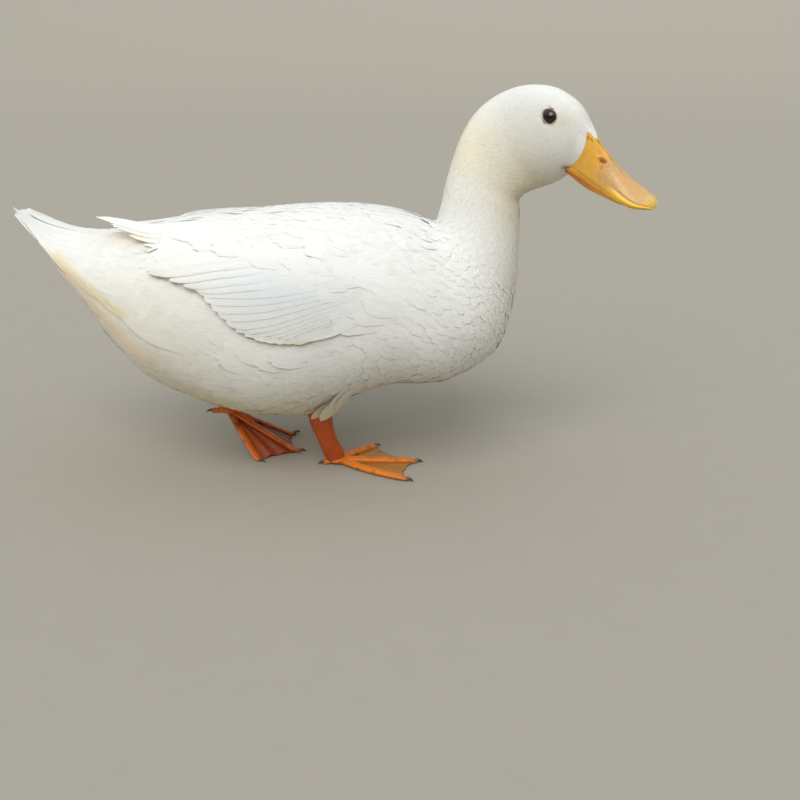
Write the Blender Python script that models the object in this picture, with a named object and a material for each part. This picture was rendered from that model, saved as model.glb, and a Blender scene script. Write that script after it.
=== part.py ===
"""A white domestic duck, life size, caught in mid-step: right foot flat, left foot pushing off.
Heading is +X, the duck's left is +Y, the soles are at z = 0. Sizes in this file are millimetres;
every mesh is written in metres. The feathered body is one loft through tilted sections, parted into
tail, trunk, neck and head; wings, bill, eyes, legs, feet and claws are solids of their own."""
import math

import bpy
import numpy as np

# ---- driving dimensions, mm ----
CENTRE_SHIFT = (56.4, 0.0)            # moves the standing duck so its box is centred on the origin
PART_GAP = 0.4                      # between the parted lengths of the body
HEAD_ORIGIN = (145.4, -34.0, 270.7)  # where the forehead feathers meet the bill ridge
HEAD_YAW, HEAD_PITCH, HEAD_ROLL = 31.0, 27.0, -16.0   # degrees: to its right, down, tipped over
# sections of the trunk: name, top x z, bottom x z, half width, squareness, height of widest point
TRUNK_SECTIONS = (
    ("tail tip", -302.6, 212.8, -296.5, 208.6, 14.0, 2.0, 0.5),
    ("tail blade", -289.0, 204.8, -279.5, 193.2, 28.0, 2.0, 0.45),
    ("tail root", -263.4, 197.0, -264.0, 167.0, 40.0, 2.0, 0.45),
    ("rump", -235.0, 195.8, -249.5, 140.3, 50.0, 2.0, 0.47),
    ("vent", -203.0, 199.8, -235.4, 112.0, 61.0, 2.0, 0.5),
    ("hind belly", -168.0, 207.0, -212.0, 83.2, 73.0, 2.05, 0.5),
    ("hip", -127.0, 211.0, -167.0, 59.7, 82.0, 2.15, 0.52),
    ("loin", -87.0, 215.0, -114.0, 46.2, 87.0, 2.2, 0.52),
    ("middle", -44.0, 216.0, -61.5, 57.4, 88.0, 2.2, 0.52),
    ("ribs", -4.0, 212.0, -6.0, 73.2, 84.0, 2.15, 0.5),
    ("shoulder", 17.0, 206.4, 44.0, 77.2, 75.0, 2.1, 0.5),
    ("breast", 26.0, 202.8, 82.5, 104.3, 62.0, 2.0, 0.5),
    ("crop", 29.0, 205.0, 93.2, 144.0, 49.0, 2.0, 0.5),
)
# sections of the neck: top x y z, bottom x y z, half width, squareness, widest, share of the head's turn
NECK_SECTIONS = (
    ("neck base", 32.5, 0.0, 216.0, 95.0, 0.0, 181.0, 37.5, 2.0, 0.5, 0.0),
    ("neck", 37.5, 1.5, 239.6, 95.2, 1.0, 210.3, 30.0, 2.0, 0.5, 0.15),
    ("upper neck", 47.0, 5.0, 267.5, 95.4, 2.5, 222.0, 26.5, 2.0, 0.5, 0.4),
    ("nape", 58.2, 7.5, 286.0, 104.0, 3.0, 227.8, 25.0, 2.0, 0.5, 0.65),
    ("back of head", 76.0, 6.0, 300.0, 114.0, 1.5, 231.4, 24.0, 2.0, 0.5, 0.85),
)
# sections of the head in its own frame: top x z, bottom x z, half width, squareness, widest
HEAD_SECTIONS = (
    ("crown", -65.0, 8.0, -16.0, -50.0, 23.0, 2.0, 0.46),
    ("brow", -42.5, 16.5, -12.0, -43.5, 20.8, 2.0, 0.46),
    ("forehead", -20.8, 13.9, -9.5, -37.7, 16.8, 2.0, 0.42),
    ("face", -3.5, 1.6, -7.5, -31.5, 11.5, 2.2, 0.36),
)
TAIL_TRUNK_CUT, TRUNK_NECK_CUT, NECK_HEAD_CUT = 3, 12, 15     # indices of the parting sections

# folded wing: distance along, upper and lower edge in degrees from the top, lift, thickness
WING_STATIONS = (
    (76.0, 20.0, 25.0, 16.0, 1.2), (90.0, 11.0, 30.0, 10.0, 2.6), (104.0, 9.0, 35.0, 5.0, 3.6),
    (113.0, 9.0, 39.0, 2.4, 4.4), (120.0, 9.0, 57.0, 0.9, 5.0), (131.0, 9.0, 61.0, 0.9, 6.0),
    (145.0, 9.0, 66.0, 0.9, 6.6), (162.0, 9.0, 70.0, 0.9, 7.0), (176.0, 9.0, 77.0, 0.9, 7.0),
    (190.0, 9.0, 84.0, 0.9, 7.0), (206.0, 9.0, 88.0, 0.9, 7.0), (240.0, 9.0, 91.0, 0.9, 7.0),
    (267.0, 9.0, 88.0, 0.9, 6.4), (281.0, 10.0, 82.0, 0.9, 5.8), (297.0, 11.0, 77.0, 0.9, 5.0),
    (315.0, 14.0, 72.0, 0.9, 4.2), (333.0, 19.0, 65.0, 0.9, 3.2), (346.0, 27.0, 57.0, 0.9, 2.2),
    (353.0, 36.0, 50.0, 0.9, 1.4),
)
WING_EDGE = 1.1                     # thickness of the rim all round
TIP_LIFT_KEPT = {"wing_left": 0.12, "wing_right": 1.0}    # the left wing's long tip lies low on the rump
# bill, in the head's frame: station x, ridge z, cutting edge z, half width, squareness of the roof
BILL_STATIONS = (
    (-3.0, 1.6, -26.4, 11.7, 2.0), (4.0, -1.3, -27.6, 11.5, 2.0), (12.0, -4.2, -28.2, 11.3, 2.05),
    (24.0, -8.7, -27.0, 11.7, 2.15), (34.0, -12.4, -25.4, 12.8, 2.3), (44.0, -15.2, -24.4, 13.4, 2.45),
    (52.0, -16.7, -23.3, 12.2, 2.4), (58.0, -17.7, -22.2, 8.4, 2.2), (61.4, -19.2, -21.4, 3.4, 2.0),
)
BILL_BASE_LEAN, BILL_LEAN_ENDS = 0.12, 14.0       # the base plane leans, upright again by this x
MANDIBLE_STATIONS = ((-6.4, 6.6), (4.0, 5.6), (14.0, 4.6), (30.0, 3.2), (46.0, 2.2), (55.0, 1.5))
MANDIBLE_NARROW, MANDIBLE_TIP = 0.84, 0.5
EYE_CENTRE, EYE_RADIUS, EYE_GAP = (-36.0, 11.2, 4.8), 6.2, 0.35       # head frame, + and - in y
# legs: path x y z, then half thickness fore-and-aft and across
RIGHT_LEG = (
    (-67.0, -36.0, 66.0, 11.0, 9.0), (-66.0, -34.5, 54.0, 10.4, 8.4), (-65.0, -32.5, 43.0, 9.3, 7.2),
    (-62.5, -29.0, 31.0, 8.1, 6.2), (-59.5, -25.0, 19.5, 8.0, 6.2), (-56.6, -21.5, 11.0, 8.5, 6.6),
    (-55.6, -20.4, 8.5, 8.0, 6.4),
)
LEFT_LEG = (
    (-116.0, 28.0, 82.0, 10.0, 9.0), (-122.0, 24.0, 70.0, 8.6, 7.2), (-130.0, 17.5, 59.5, 7.4, 6.0),
    (-138.0, 11.0, 51.0, 7.0, 5.8), (-142.6, 7.2, 46.6, 6.8, 5.6),
)
# feet: joint x y z, three toes and the hind toe as direction in degrees and length over the floor
RIGHT_JOINT, RIGHT_HIND = (-53.5, -18.8, 0.0), (198.0, 12.0)
RIGHT_TOES = ((-31.0, 70.0), (-1.4, 68.0), (42.3, 44.0))
LEFT_JOINT, LEFT_HIND = (-147.5, 4.0, 36.5), (182.0, 15.0)
LEFT_TOES = ((-38.0, 35.0), (-2.5, 60.0), (34.5, 63.0))
TOE_HALF_WIDTH, TOE_HEIGHT, WEB_THICK, PALM_HEIGHT, PALM_RADIUS = 3.6, 5.7, 1.2, 7.9, 8.0
WEB_SCALLOP, TOE_REACH, FLAT_FROM = 0.08, 0.95, 0.9
CLAW_LENGTH, CLAW_RADIUS = 6.0, 1.8
THIGH_SWELLS = (((-64.0, -34.0, 52.0), 9.0, 17.0), ((-112.0, 26.0, 50.0), 6.0, 22.0))  # place, rise, spread

# rings along and points around each loft
BODY_RINGS = {"tail": (9, 28), "trunk": (28, 36), "neck": (8, 30), "head": (15, 30)}
WING_CELLS, BILL_CELLS, MANDIBLE_CELLS = (27, 9), (15, 16), (9, 12)
FOOT_RINGS, LEG_SIDES, CLAW_SIDES = 6, 14, 8

WHITE, ORANGE, HORN, DARK = (0.80, 0.78, 0.72), (0.80, 0.30, 0.03), (0.72, 0.42, 0.12), (0.02, 0.015, 0.012)


# ---- shape of the body ----
def turn_matrix(yaw, pitch, roll):
    """Head frame to duck frame: columns are the head's forward, left and up."""
    y, p, r = np.radians((yaw, pitch, roll))
    about_z = np.array([[np.cos(y), np.sin(y), 0], [-np.sin(y), np.cos(y), 0], [0, 0, 1]])
    about_y = np.array([[np.cos(p), 0, np.sin(p)], [0, 1, 0], [-np.sin(p), 0, np.cos(p)]])
    about_x = np.array([[1, 0, 0], [0, np.cos(r), np.sin(r)], [0, -np.sin(r), np.cos(r)]])
    return about_z @ about_y @ about_x


HEAD_TURN = turn_matrix(HEAD_YAW, HEAD_PITCH, HEAD_ROLL)


def from_head(points):
    """Head-frame millimetres to duck-frame millimetres."""
    return np.asarray(points, float) @ HEAD_TURN.T + HEAD_ORIGIN


def section_table():
    """One row per section: top (3), bottom (3), sideways direction (3), half width, squareness, widest."""
    rows = []
    side = HEAD_TURN[:, 1]
    for _, tx, tz, bx, bz, width, square, widest in TRUNK_SECTIONS:
        rows.append((tx, 0, tz, bx, 0, bz, 0, 1, 0, width, square, widest))
    for _, tx, ty, tz, bx, by, bz, width, square, widest, turn in NECK_SECTIONS:
        across = np.array((0, 1, 0)) * (1 - turn) + side * turn
        rows.append((tx, ty, tz, bx, by, bz, *across / np.linalg.norm(across), width, square, widest))
    for _, tx, tz, bx, bz, width, square, widest in HEAD_SECTIONS:
        rows.append((*from_head((tx, 0, tz)), *from_head((bx, 0, bz)), *side, width, square, widest))
    return np.array(rows, float)


SECTIONS = section_table()
# distance along the body's middle line, the loft's own length parameter
MIDDLES = (SECTIONS[:, :3] + SECTIONS[:, 3:6]) / 2
STATION = np.concatenate([[0], np.cumsum(np.linalg.norm(np.diff(MIDDLES, axis=0), axis=1))])


def smooth_rows(at):
    """Every section value at these distances: cubic through the table, slopes from neighbours."""
    at = np.clip(np.asarray(at, float), STATION[0], STATION[-1])
    step = np.diff(STATION)[:, None]
    rise = np.diff(SECTIONS, axis=0) / step
    slope = np.empty_like(SECTIONS)
    slope[1:-1] = (rise[:-1] * step[1:] + rise[1:] * step[:-1]) / (step[1:] + step[:-1])
    slope[0], slope[-1] = rise[0], rise[-1]
    k = np.clip(np.searchsorted(STATION, at, side="right") - 1, 0, len(STATION) - 2)
    h = (STATION[k + 1] - STATION[k])[..., None]
    u = (at - STATION[k])[..., None] / h
    return ((2 * u**3 - 3 * u**2 + 1) * SECTIONS[k] + (u**3 - 2 * u**2 + u) * h * slope[k]
            + (3 * u**2 - 2 * u**3) * SECTIONS[k + 1] + (u**3 - u**2) * h * slope[k + 1])


def body(along, around):
    """Surface point: along the middle line in mm, around in radians from the top towards the left."""
    along, around = np.broadcast_arrays(np.asarray(along, float), np.asarray(around, float))
    row = smooth_rows(along)
    top, bottom, side = row[..., 0:3], row[..., 3:6], row[..., 6:9]
    width, square, widest = row[..., 9:10], row[..., 10], row[..., 11:12]
    up, out = np.cos(around), np.sin(around)
    up = (np.sign(up) * np.abs(up) ** (2 / square))[..., None]
    out = (np.sign(out) * np.abs(out) ** (2 / square))[..., None]
    middle = bottom + (top - bottom) * widest
    point = middle + np.where(up > 0, up * (top - middle), -up * (bottom - middle)) + side * width * out
    for place, rise, spread in THIGH_SWELLS:
        away = point - np.array(place)
        near = np.exp(-(away**2).sum(-1, keepdims=True) / (2 * spread**2))
        point = point + near * rise * np.array((0.15, 0.1 * np.sign(place[1]), -0.98))
    return point


def body_normal(along, around):
    """Outward unit normal of the body by small differences."""
    e = 0.4
    d_along = body(along + e, around) - body(along - e, around)
    d_around = body(along, around + 0.01) - body(along, around - 0.01)
    n = np.cross(d_along, d_around)
    return n / np.linalg.norm(n, axis=-1, keepdims=True)


# ---- building solids ----
def grid_faces(rows, columns, closed_across=True):
    """Quads over a rows x columns grid of points, wrapped round across its columns if closed."""
    across = np.arange(columns if closed_across else columns - 1)
    r, c = np.meshgrid(np.arange(rows - 1) * columns, across, indexing="ij")
    n = (c + 1) % columns
    return np.stack([r + c, r + n, r + columns + n, r + columns + c], -1).reshape(-1, 4)


def closed_loft(rings):
    """Points and faces of a solid through closed rings, its two ends fanned to their middles."""
    rows, columns = rings.shape[:2]
    points = np.concatenate([rings.reshape(-1, 3), rings[[0, -1]].mean(1)])
    first, last = rows * columns, rows * columns + 1
    edge = np.arange(columns)
    after = (edge + 1) % columns
    start = (rows - 1) * columns
    faces = [tuple(q) for q in grid_faces(rows, columns)]
    faces += [(first, b, a) for a, b in zip(edge, after)]
    faces += [(last, start + a, start + b) for a, b in zip(edge, after)]
    return points, faces


def closed_shell(outer, inner):
    """Points and faces of a thin solid between two matching open grids."""
    rows, columns = outer.shape[:2]
    count = rows * columns
    points = np.concatenate([outer.reshape(-1, 3), inner.reshape(-1, 3)])
    faces = [tuple(q) for q in grid_faces(rows, columns, False)]
    faces += [tuple(count + q[::-1]) for q in grid_faces(rows, columns, False)]
    rim = [c for c in range(columns)] + [r * columns + columns - 1 for r in range(1, rows)]
    rim += [(rows - 1) * columns + c for c in range(columns - 2, -1, -1)]
    rim += [r * columns for r in range(rows - 2, 0, -1)]
    faces += [(a, a + count, b + count, b) for a, b in zip(rim, rim[1:] + rim[:1])]
    return points, faces


def facing_out(points, faces):
    """The same faces, turned round if the solid they bound is inside out."""
    volume = sum(np.dot(points[f[0]], np.cross(points[f[k]], points[f[k + 1]]))
                 for f in faces for k in range(1, len(f) - 1))
    return faces if volume > 0 else [tuple(f[::-1]) for f in faces]


def make_solid(name, shape, colour, roughness):
    """A mesh object from duck-frame millimetres, written in metres about the centred origin."""
    points, faces = shape
    points = points - (-CENTRE_SHIFT[0], -CENTRE_SHIFT[1], 0.0)
    mesh = bpy.data.meshes.new(name)
    mesh.from_pydata((points * 0.001).tolist(), [], facing_out(points, [tuple(map(int, f)) for f in faces]))
    mesh.validate()
    solid = bpy.data.objects.new(name, mesh)
    bpy.context.scene.collection.objects.link(solid)
    material = bpy.data.materials.new(name)
    material.use_nodes = True
    shader = material.node_tree.nodes["Principled BSDF"]
    shader.inputs["Base Color"].default_value = (*colour, 1.0)
    shader.inputs["Roughness"].default_value = roughness
    mesh.materials.append(material)
    return solid


def cut(solid, cutter):
    """Takes the hidden cutter's volume away from the solid."""
    cutter.hide_render = True
    cutter.display_type = "WIRE"
    modifier = solid.modifiers.new("cut " + cutter.name, "BOOLEAN")
    modifier.operation = "DIFFERENCE"
    modifier.solver = "EXACT"
    modifier.object = cutter


def body_length(first, last, rings, sides, grown=0.0):
    """The body's loft between two of its sections, rings spread evenly over the sections between."""
    along = np.interp(np.linspace(first, last, rings), np.arange(len(STATION)), STATION)[:, None]
    along[0] += PART_GAP / 2 * (first > 0)
    along[-1] -= PART_GAP / 2 * (last < len(STATION) - 1)
    around = np.linspace(0, 2 * np.pi, sides, endpoint=False)[None]
    points = body(along, around)
    if grown:
        points = points + body_normal(along, around) * grown
    return closed_loft(points)


def wing(side, lift_kept):
    """Shell lying on the body's flank: the rim is thin, the middle full, the long tip lifts off the rump."""
    table = np.array(WING_STATIONS)
    pick = np.linspace(0, len(table) - 1, WING_CELLS[0])
    along, upper, lower, lift, thick = (np.interp(pick, np.arange(len(table)), table[:, k]) for k in range(5))
    lift = lift.min() + (lift - lift.min()) * lift_kept
    across = np.linspace(0, 1, WING_CELLS[1])
    degrees = upper[:, None] + (lower - upper)[:, None] * across
    around = -np.radians(degrees)
    spot = np.broadcast_to(along[:, None], around.shape)
    base, normal = body(spot, around), body_normal(spot, around)
    lengthwise = np.sin(np.pi * np.linspace(0, 1, len(along)))[:, None] ** 0.4
    full = np.sqrt(np.sin(np.pi * across**1.7)) * lengthwise
    inner = base + normal * lift[:, None, None]
    outer = inner + normal * (WING_EDGE + (thick[:, None] - WING_EDGE) * full)[..., None]
    mirror = np.array((1.0, side * -1.0, 1.0))
    return closed_shell(outer * mirror, inner * mirror)


def bill_values(x):
    """Ridge z, cutting edge z, half width and squareness of the upper bill at these x."""
    table = np.array(BILL_STATIONS)
    return [np.interp(x, table[:, 0], table[:, k]) for k in range(1, 5)]


def upper_bill():
    """Roofed sections from the leaning base plane to the rounded tip, flat underneath."""
    x = np.concatenate([np.linspace(BILL_STATIONS[0][0], 52.0, BILL_CELLS[0] - 4), (55.5, 58.5, 60.4, 61.4)])
    ridge, edge, width, square = bill_values(x)
    angle = np.linspace(0, np.pi, BILL_CELLS[1])
    flat = np.linspace(-1, 1, 6)[1:-1]
    up = np.sin(angle)[None] ** (2 / square[:, None])
    out = np.sign(np.cos(angle)) * np.abs(np.cos(angle)) ** (2 / square[:, None])
    y = np.concatenate([out * width[:, None], flat[None] * width[:, None]], 1)
    z = np.concatenate([edge[:, None] + up * (ridge - edge)[:, None], np.repeat(edge[:, None], 4, 1)], 1)
    lean = BILL_BASE_LEAN * np.clip(1 - (x - x[0]) / BILL_LEAN_ENDS, 0, 1)[:, None]
    return closed_loft(from_head(np.stack([x[:, None] + lean * (z - ridge[0]), y, z], -1)))


def lower_bill():
    """The mandible: a shallow tray just under and inside the upper bill's cutting edge."""
    table = np.array(MANDIBLE_STATIONS)
    x = np.linspace(table[0, 0], table[-1, 0], MANDIBLE_CELLS[0])
    _, edge, width, _ = bill_values(x)
    deep = np.interp(x, table[:, 0], table[:, 1])
    width = width * MANDIBLE_NARROW * np.interp(x, (40.0, x[-1]), (1.0, MANDIBLE_TIP))
    angle = np.linspace(0, np.pi, MANDIBLE_CELLS[1])
    flat = np.linspace(-1, 1, 6)[1:-1]
    y = np.concatenate([np.cos(angle)[None] * width[:, None], flat[None] * width[:, None]], 1)
    top = edge - PART_GAP
    z = top[:, None] - np.sin(angle)[None] ** 0.8 * deep[:, None]
    z = np.concatenate([z, np.repeat(top[:, None], 4, 1)], 1)
    return closed_loft(from_head(np.stack([np.repeat(x[:, None], z.shape[1], 1), y, z], -1)))


def limb(path):
    """Oval sections square to a path of centre points with their two half thicknesses."""
    path = np.array(path)
    centre, fore, across = path[:, :3], path[:, 3:4], path[:, 4:5]
    along = np.gradient(centre, axis=0)
    along[-1] = (0, 0, -1) if abs(along[-1, 2]) > 2 * np.abs(along[-1, :2]).max() else along[-1]
    along /= np.linalg.norm(along, axis=1, keepdims=True)
    side = np.cross(along, (1.0, 0, 0))
    side /= np.linalg.norm(side, axis=1, keepdims=True)
    front = np.cross(side, along)
    angle = np.linspace(0, 2 * np.pi, LEG_SIDES, endpoint=False)[None, :, None]
    ring = front[:, None] * fore[:, None] * np.cos(angle) + side[:, None] * across[:, None] * np.sin(angle)
    return closed_loft(centre[:, None] + ring)


def foot_angles(toes, hind):
    """Directions of the foot's spokes in degrees: close together on each toe, open over webs and heel."""
    spokes = []
    for heading, length in (*toes, hind):
        spread = 3.4 if length > 20 else 9.0
        spokes += [heading + spread * k for k in (-2.4, -1.0, -0.45, 0.45, 1.0, 2.4)] + [heading]
    for one, two in zip(toes[:-1], toes[1:]):
        spokes += list(np.linspace(one[0] + 8.2, two[0] - 8.2, 5)[1:-1])
    low, high = toes[0][0] - 8.2, toes[-1][0] + 8.2
    spokes += list(np.linspace(high, hind[0] - 21.6, 5)[1:-1])
    spokes += list(np.linspace(hind[0] + 21.6 - 360, low, 5)[1:-1])
    return np.sort((np.array(spokes) + 180) % 360 - 180)


def foot_outline(degrees, toes, hind):
    """Distance from the joint to the foot's edge in each direction: toes, scalloped webs, round heel."""
    reach = np.full(len(degrees), PALM_RADIUS)
    for one, two in zip(toes[:-1], toes[1:]):
        u = (degrees - one[0]) / (two[0] - one[0])
        scallop = 1 - WEB_SCALLOP * np.sin(np.pi * np.clip(u, 0, 1))
        web = (one[1] + (two[1] - one[1]) * u) * TOE_REACH * scallop
        reach = np.where((u >= 0) & (u <= 1), web, reach)
    for heading, length in (*toes, hind):
        off = np.abs((degrees - heading + 180) % 360 - 180)
        half = np.degrees(TOE_HALF_WIDTH * 0.62 / length)
        reach = np.maximum(reach, length * (1 - 0.05 * (off / half) ** 2) * (off < half * 1.3))
        side = TOE_HALF_WIDTH / np.sin(np.radians(np.clip(off, 0.5, 90)))
        reach = np.maximum(reach, np.minimum(side, length * 0.93) * (off < 60))
    return reach


def foot(joint, toes, hind):
    """Webbed foot as spokes from its joint: flat below, toes as ridges above, lifted at a raised heel."""
    degrees = foot_angles(toes, hind)
    reach = foot_outline(degrees, toes, hind)
    part = np.linspace(0, 1, FOOT_RINGS + 1)[1:, None] ** 0.9
    radius = part * reach
    radians = np.radians(degrees)
    x, y = radius * np.cos(radians), radius * np.sin(radians)
    top = WEB_THICK + (PALM_HEIGHT - WEB_THICK) * np.exp(-((radius / PALM_RADIUS) ** 2) * 0.8)
    for heading, length in (*toes, hind):
        off = np.radians((degrees - heading + 180) % 360 - 180)
        aside = radius * np.sin(off)
        ahead = np.cos(off) > 0
        fall = 1 - 0.5 * np.clip(radius / length, 0, 1)
        ridge = (TOE_HEIGHT - WEB_THICK) * fall * np.exp(-((aside / 2.7) ** 2)) * ahead
        top = np.maximum(top, WEB_THICK + ridge)
    middle_way = (toes[0][0] + toes[-1][0]) / 2
    off = np.abs((degrees - middle_way + 180) % 360 - 180)
    forward = np.clip(1.5 - off / 70.0, 0, 1)
    sink = np.clip(part / FLAT_FROM, 0, 1) * forward
    floor = joint[2] * (1 - sink)
    upper = np.stack([x, y, floor + top], -1)
    lower = np.stack([x * 0.985, y * 0.985, floor + 0 * top], -1)
    rings = np.concatenate([lower, upper[::-1]])
    points, faces = closed_loft(rings + (joint[0], joint[1], 0.0))
    points[-2] = (joint[0], joint[1], joint[2])
    points[-1] = (joint[0], joint[1], joint[2] + PALM_HEIGHT)
    return points, faces


def claw(joint, toe, height, drop):
    """A short curved cone ahead of a toe's end."""
    heading, length = np.radians(toe[0]), toe[1]
    steps = np.array((0.0, 0.45, 0.8, 1.0))
    ahead = length + PART_GAP + 0.2 + CLAW_LENGTH * steps
    thin = CLAW_RADIUS * np.array((1.0, 0.82, 0.45, 0.12))
    angle = np.linspace(0, 2 * np.pi, CLAW_SIDES, endpoint=False)
    way = np.array((np.cos(heading), np.sin(heading), 0.0))
    side = np.array((-way[1], way[0], 0.0))
    centre = np.array((joint[0], joint[1], 0.0)) + ahead[:, None] * way
    centre[:, 2] += height - drop * steps**1.6
    circle = side * np.cos(angle)[:, None] + np.array((0, 0, 1.0)) * np.sin(angle)[:, None]
    return closed_loft(centre[:, None] + thin[:, None, None] * circle)


# ---- build ----
for old in list(bpy.data.objects):
    bpy.data.objects.remove(old)

cuts = [0, TAIL_TRUNK_CUT, TRUNK_NECK_CUT, NECK_HEAD_CUT, len(STATION) - 1]
solids = {}
for k, (name, (rings, sides)) in enumerate(BODY_RINGS.items()):
    solids[name] = make_solid(name, body_length(cuts[k], cuts[k + 1], rings, sides), WHITE, 0.8)

grown = make_solid("grown_trunk", body_length(cuts[1], cuts[2], *BODY_RINGS["trunk"], 0.5), WHITE, 0.8)
for name, side in (("wing_left", 1), ("wing_right", -1)):
    make_solid(name, wing(side, TIP_LIFT_KEPT[name]), WHITE, 0.7)

make_solid("bill_upper", upper_bill(), HORN, 0.45)
make_solid("bill_lower", lower_bill(), HORN, 0.5)

for name, side in (("eye_left", 1), ("eye_right", -1)):
    place = from_head((EYE_CENTRE[0], side * EYE_CENTRE[1], EYE_CENTRE[2])) + (*CENTRE_SHIFT, 0.0)
    for radius, label in ((EYE_RADIUS, name), (EYE_RADIUS + EYE_GAP, name + "_socket")):
        bpy.ops.mesh.primitive_uv_sphere_add(
            segments=16, ring_count=10, radius=radius * 0.001, location=place * 0.001)
        ball = bpy.context.object
        ball.name = label
        material = bpy.data.materials.new(label)
        material.use_nodes = True
        material.node_tree.nodes["Principled BSDF"].inputs["Base Color"].default_value = (*DARK, 1.0)
        ball.data.materials.append(material)
    cut(solids["head"], ball)

for name, path in (("leg_right", RIGHT_LEG), ("leg_left", LEFT_LEG)):
    cut(make_solid(name, limb(path), ORANGE, 0.5), grown)

feet = (("right", RIGHT_JOINT, RIGHT_TOES, RIGHT_HIND), ("left", LEFT_JOINT, LEFT_TOES, LEFT_HIND))
for side, joint, toes, hind in feet:
    make_solid("foot_" + side, foot(joint, toes, hind), ORANGE, 0.5)
    order = ("outer", "middle", "inner") if side == "right" else ("inner", "middle", "outer")
    for label, toe in zip(order, toes):
        make_solid(f"claw_{side}_{label}", claw(joint, toe, 2.3, 0.2), DARK, 0.4)
    make_solid(f"claw_{side}_hind", claw(joint, hind, joint[2] + 2.4, 0.2), DARK, 0.4)
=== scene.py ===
import math

import bpy
import numpy as np
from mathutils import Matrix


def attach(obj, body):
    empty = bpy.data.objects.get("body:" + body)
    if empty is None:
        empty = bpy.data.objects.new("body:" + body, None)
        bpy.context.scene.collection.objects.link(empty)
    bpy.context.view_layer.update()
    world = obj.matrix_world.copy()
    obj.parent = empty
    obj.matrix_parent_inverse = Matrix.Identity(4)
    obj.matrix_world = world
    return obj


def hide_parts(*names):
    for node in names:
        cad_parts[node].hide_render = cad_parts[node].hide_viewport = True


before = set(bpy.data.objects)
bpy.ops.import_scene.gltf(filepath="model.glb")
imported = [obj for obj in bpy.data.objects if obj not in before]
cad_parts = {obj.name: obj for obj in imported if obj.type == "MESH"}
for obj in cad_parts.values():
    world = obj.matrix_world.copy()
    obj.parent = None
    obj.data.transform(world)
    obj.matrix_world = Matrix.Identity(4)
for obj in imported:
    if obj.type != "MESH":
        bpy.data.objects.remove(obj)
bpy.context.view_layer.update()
print("frame loaded")

# all shapes below are worked out in millimetres with the duck heading along +X, then moved and written in
# metres
duckShift = np.array((56.4, 0.0, 0.0))
upwards = np.array((0.0, 0.0, 1.0))
dice = np.random.default_rng(11)


def linear(code):
    # sRGB hex to linear light: ((c + 0.055) / 1.055) to the power 2.4, or c / 12.92 near black
    c = np.array([int(code[k:k + 2], 16) for k in (1, 3, 5)]) / 255.0
    return np.where(c <= 0.04045, c / 12.92, ((c + 0.055) / 1.055) ** 2.4)


def mixed(colour, code, share):
    # linear colours moved that share of the way to a hex value
    return colour + (linear(code) - colour) * share


def ease(x):
    # 3 x^2 - 2 x^3 between 0 and 1
    x = np.clip(x, 0.0, 1.0)
    return x * x * (3.0 - 2.0 * x)


def bell(x, middle, reach, power=2):
    # 1 at the middle, falling off as exp(-((x - middle) / reach)^power)
    return np.exp(-((x - middle) / reach) ** power)


def unit(v):
    # divided by its length
    return v / np.maximum(np.linalg.norm(v, axis=-1, keepdims=True), 1e-9)


def ringAngles(count):
    # angles evenly round a closed ring, shaped to multiply directions
    return np.linspace(0, 2 * np.pi, count, endpoint=False)[None, :, None]


def smoothTable(knots, rows, at):
    # cubic through the rows at their knots, each slope the mean of its neighbours' weighted by distance
    knots, rows, at = np.asarray(knots, float), np.asarray(rows, float), np.asarray(at, float)
    at = np.clip(at, knots[0], knots[-1])
    step = np.diff(knots)[:, None]
    rise = np.diff(rows, axis=0) / step
    slope = np.empty_like(rows)
    slope[1:-1] = (rise[:-1] * step[1:] + rise[1:] * step[:-1]) / (step[1:] + step[:-1])
    slope[0], slope[-1] = rise[0], rise[-1]
    k = np.clip(np.searchsorted(knots, at, side="right") - 1, 0, len(knots) - 2)
    h = (knots[k + 1] - knots[k])[..., None]
    u = (at - knots[k])[..., None] / h
    return ((2 * u**3 - 3 * u**2 + 1) * rows[k] + (u**3 - 2 * u**2 + u) * h * slope[k]
            + (3 * u**2 - 2 * u**3) * rows[k + 1] + (u**3 - u**2) * h * slope[k + 1])


def turnMatrix(yaw, pitch, roll):
    # columns are the head's forward, left and up: roll first, then pitch, then yaw
    y, p, r = np.radians((yaw, pitch, roll))
    aboutZ = np.array([[np.cos(y), np.sin(y), 0], [-np.sin(y), np.cos(y), 0], [0, 0, 1]])
    aboutY = np.array([[np.cos(p), 0, np.sin(p)], [0, 1, 0], [-np.sin(p), 0, np.cos(p)]])
    aboutX = np.array([[1, 0, 0], [0, np.cos(r), np.sin(r)], [0, -np.sin(r), np.cos(r)]])
    return aboutZ @ aboutY @ aboutX


headOrigin = np.array((145.4, -34.0, 270.7))  # where the forehead feathers meet the ridge of the bill
headTurn = turnMatrix(31.0, 27.0, -16.0)


def fromHead(points):
    # head frame to duck frame: turned by headTurn, then moved to headOrigin
    return np.asarray(points, float) @ headTurn.T + headOrigin


def toHead(points):
    # the way back: moved by -headOrigin, then turned by the transpose
    return (np.asarray(points, float) - headOrigin) @ headTurn


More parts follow.
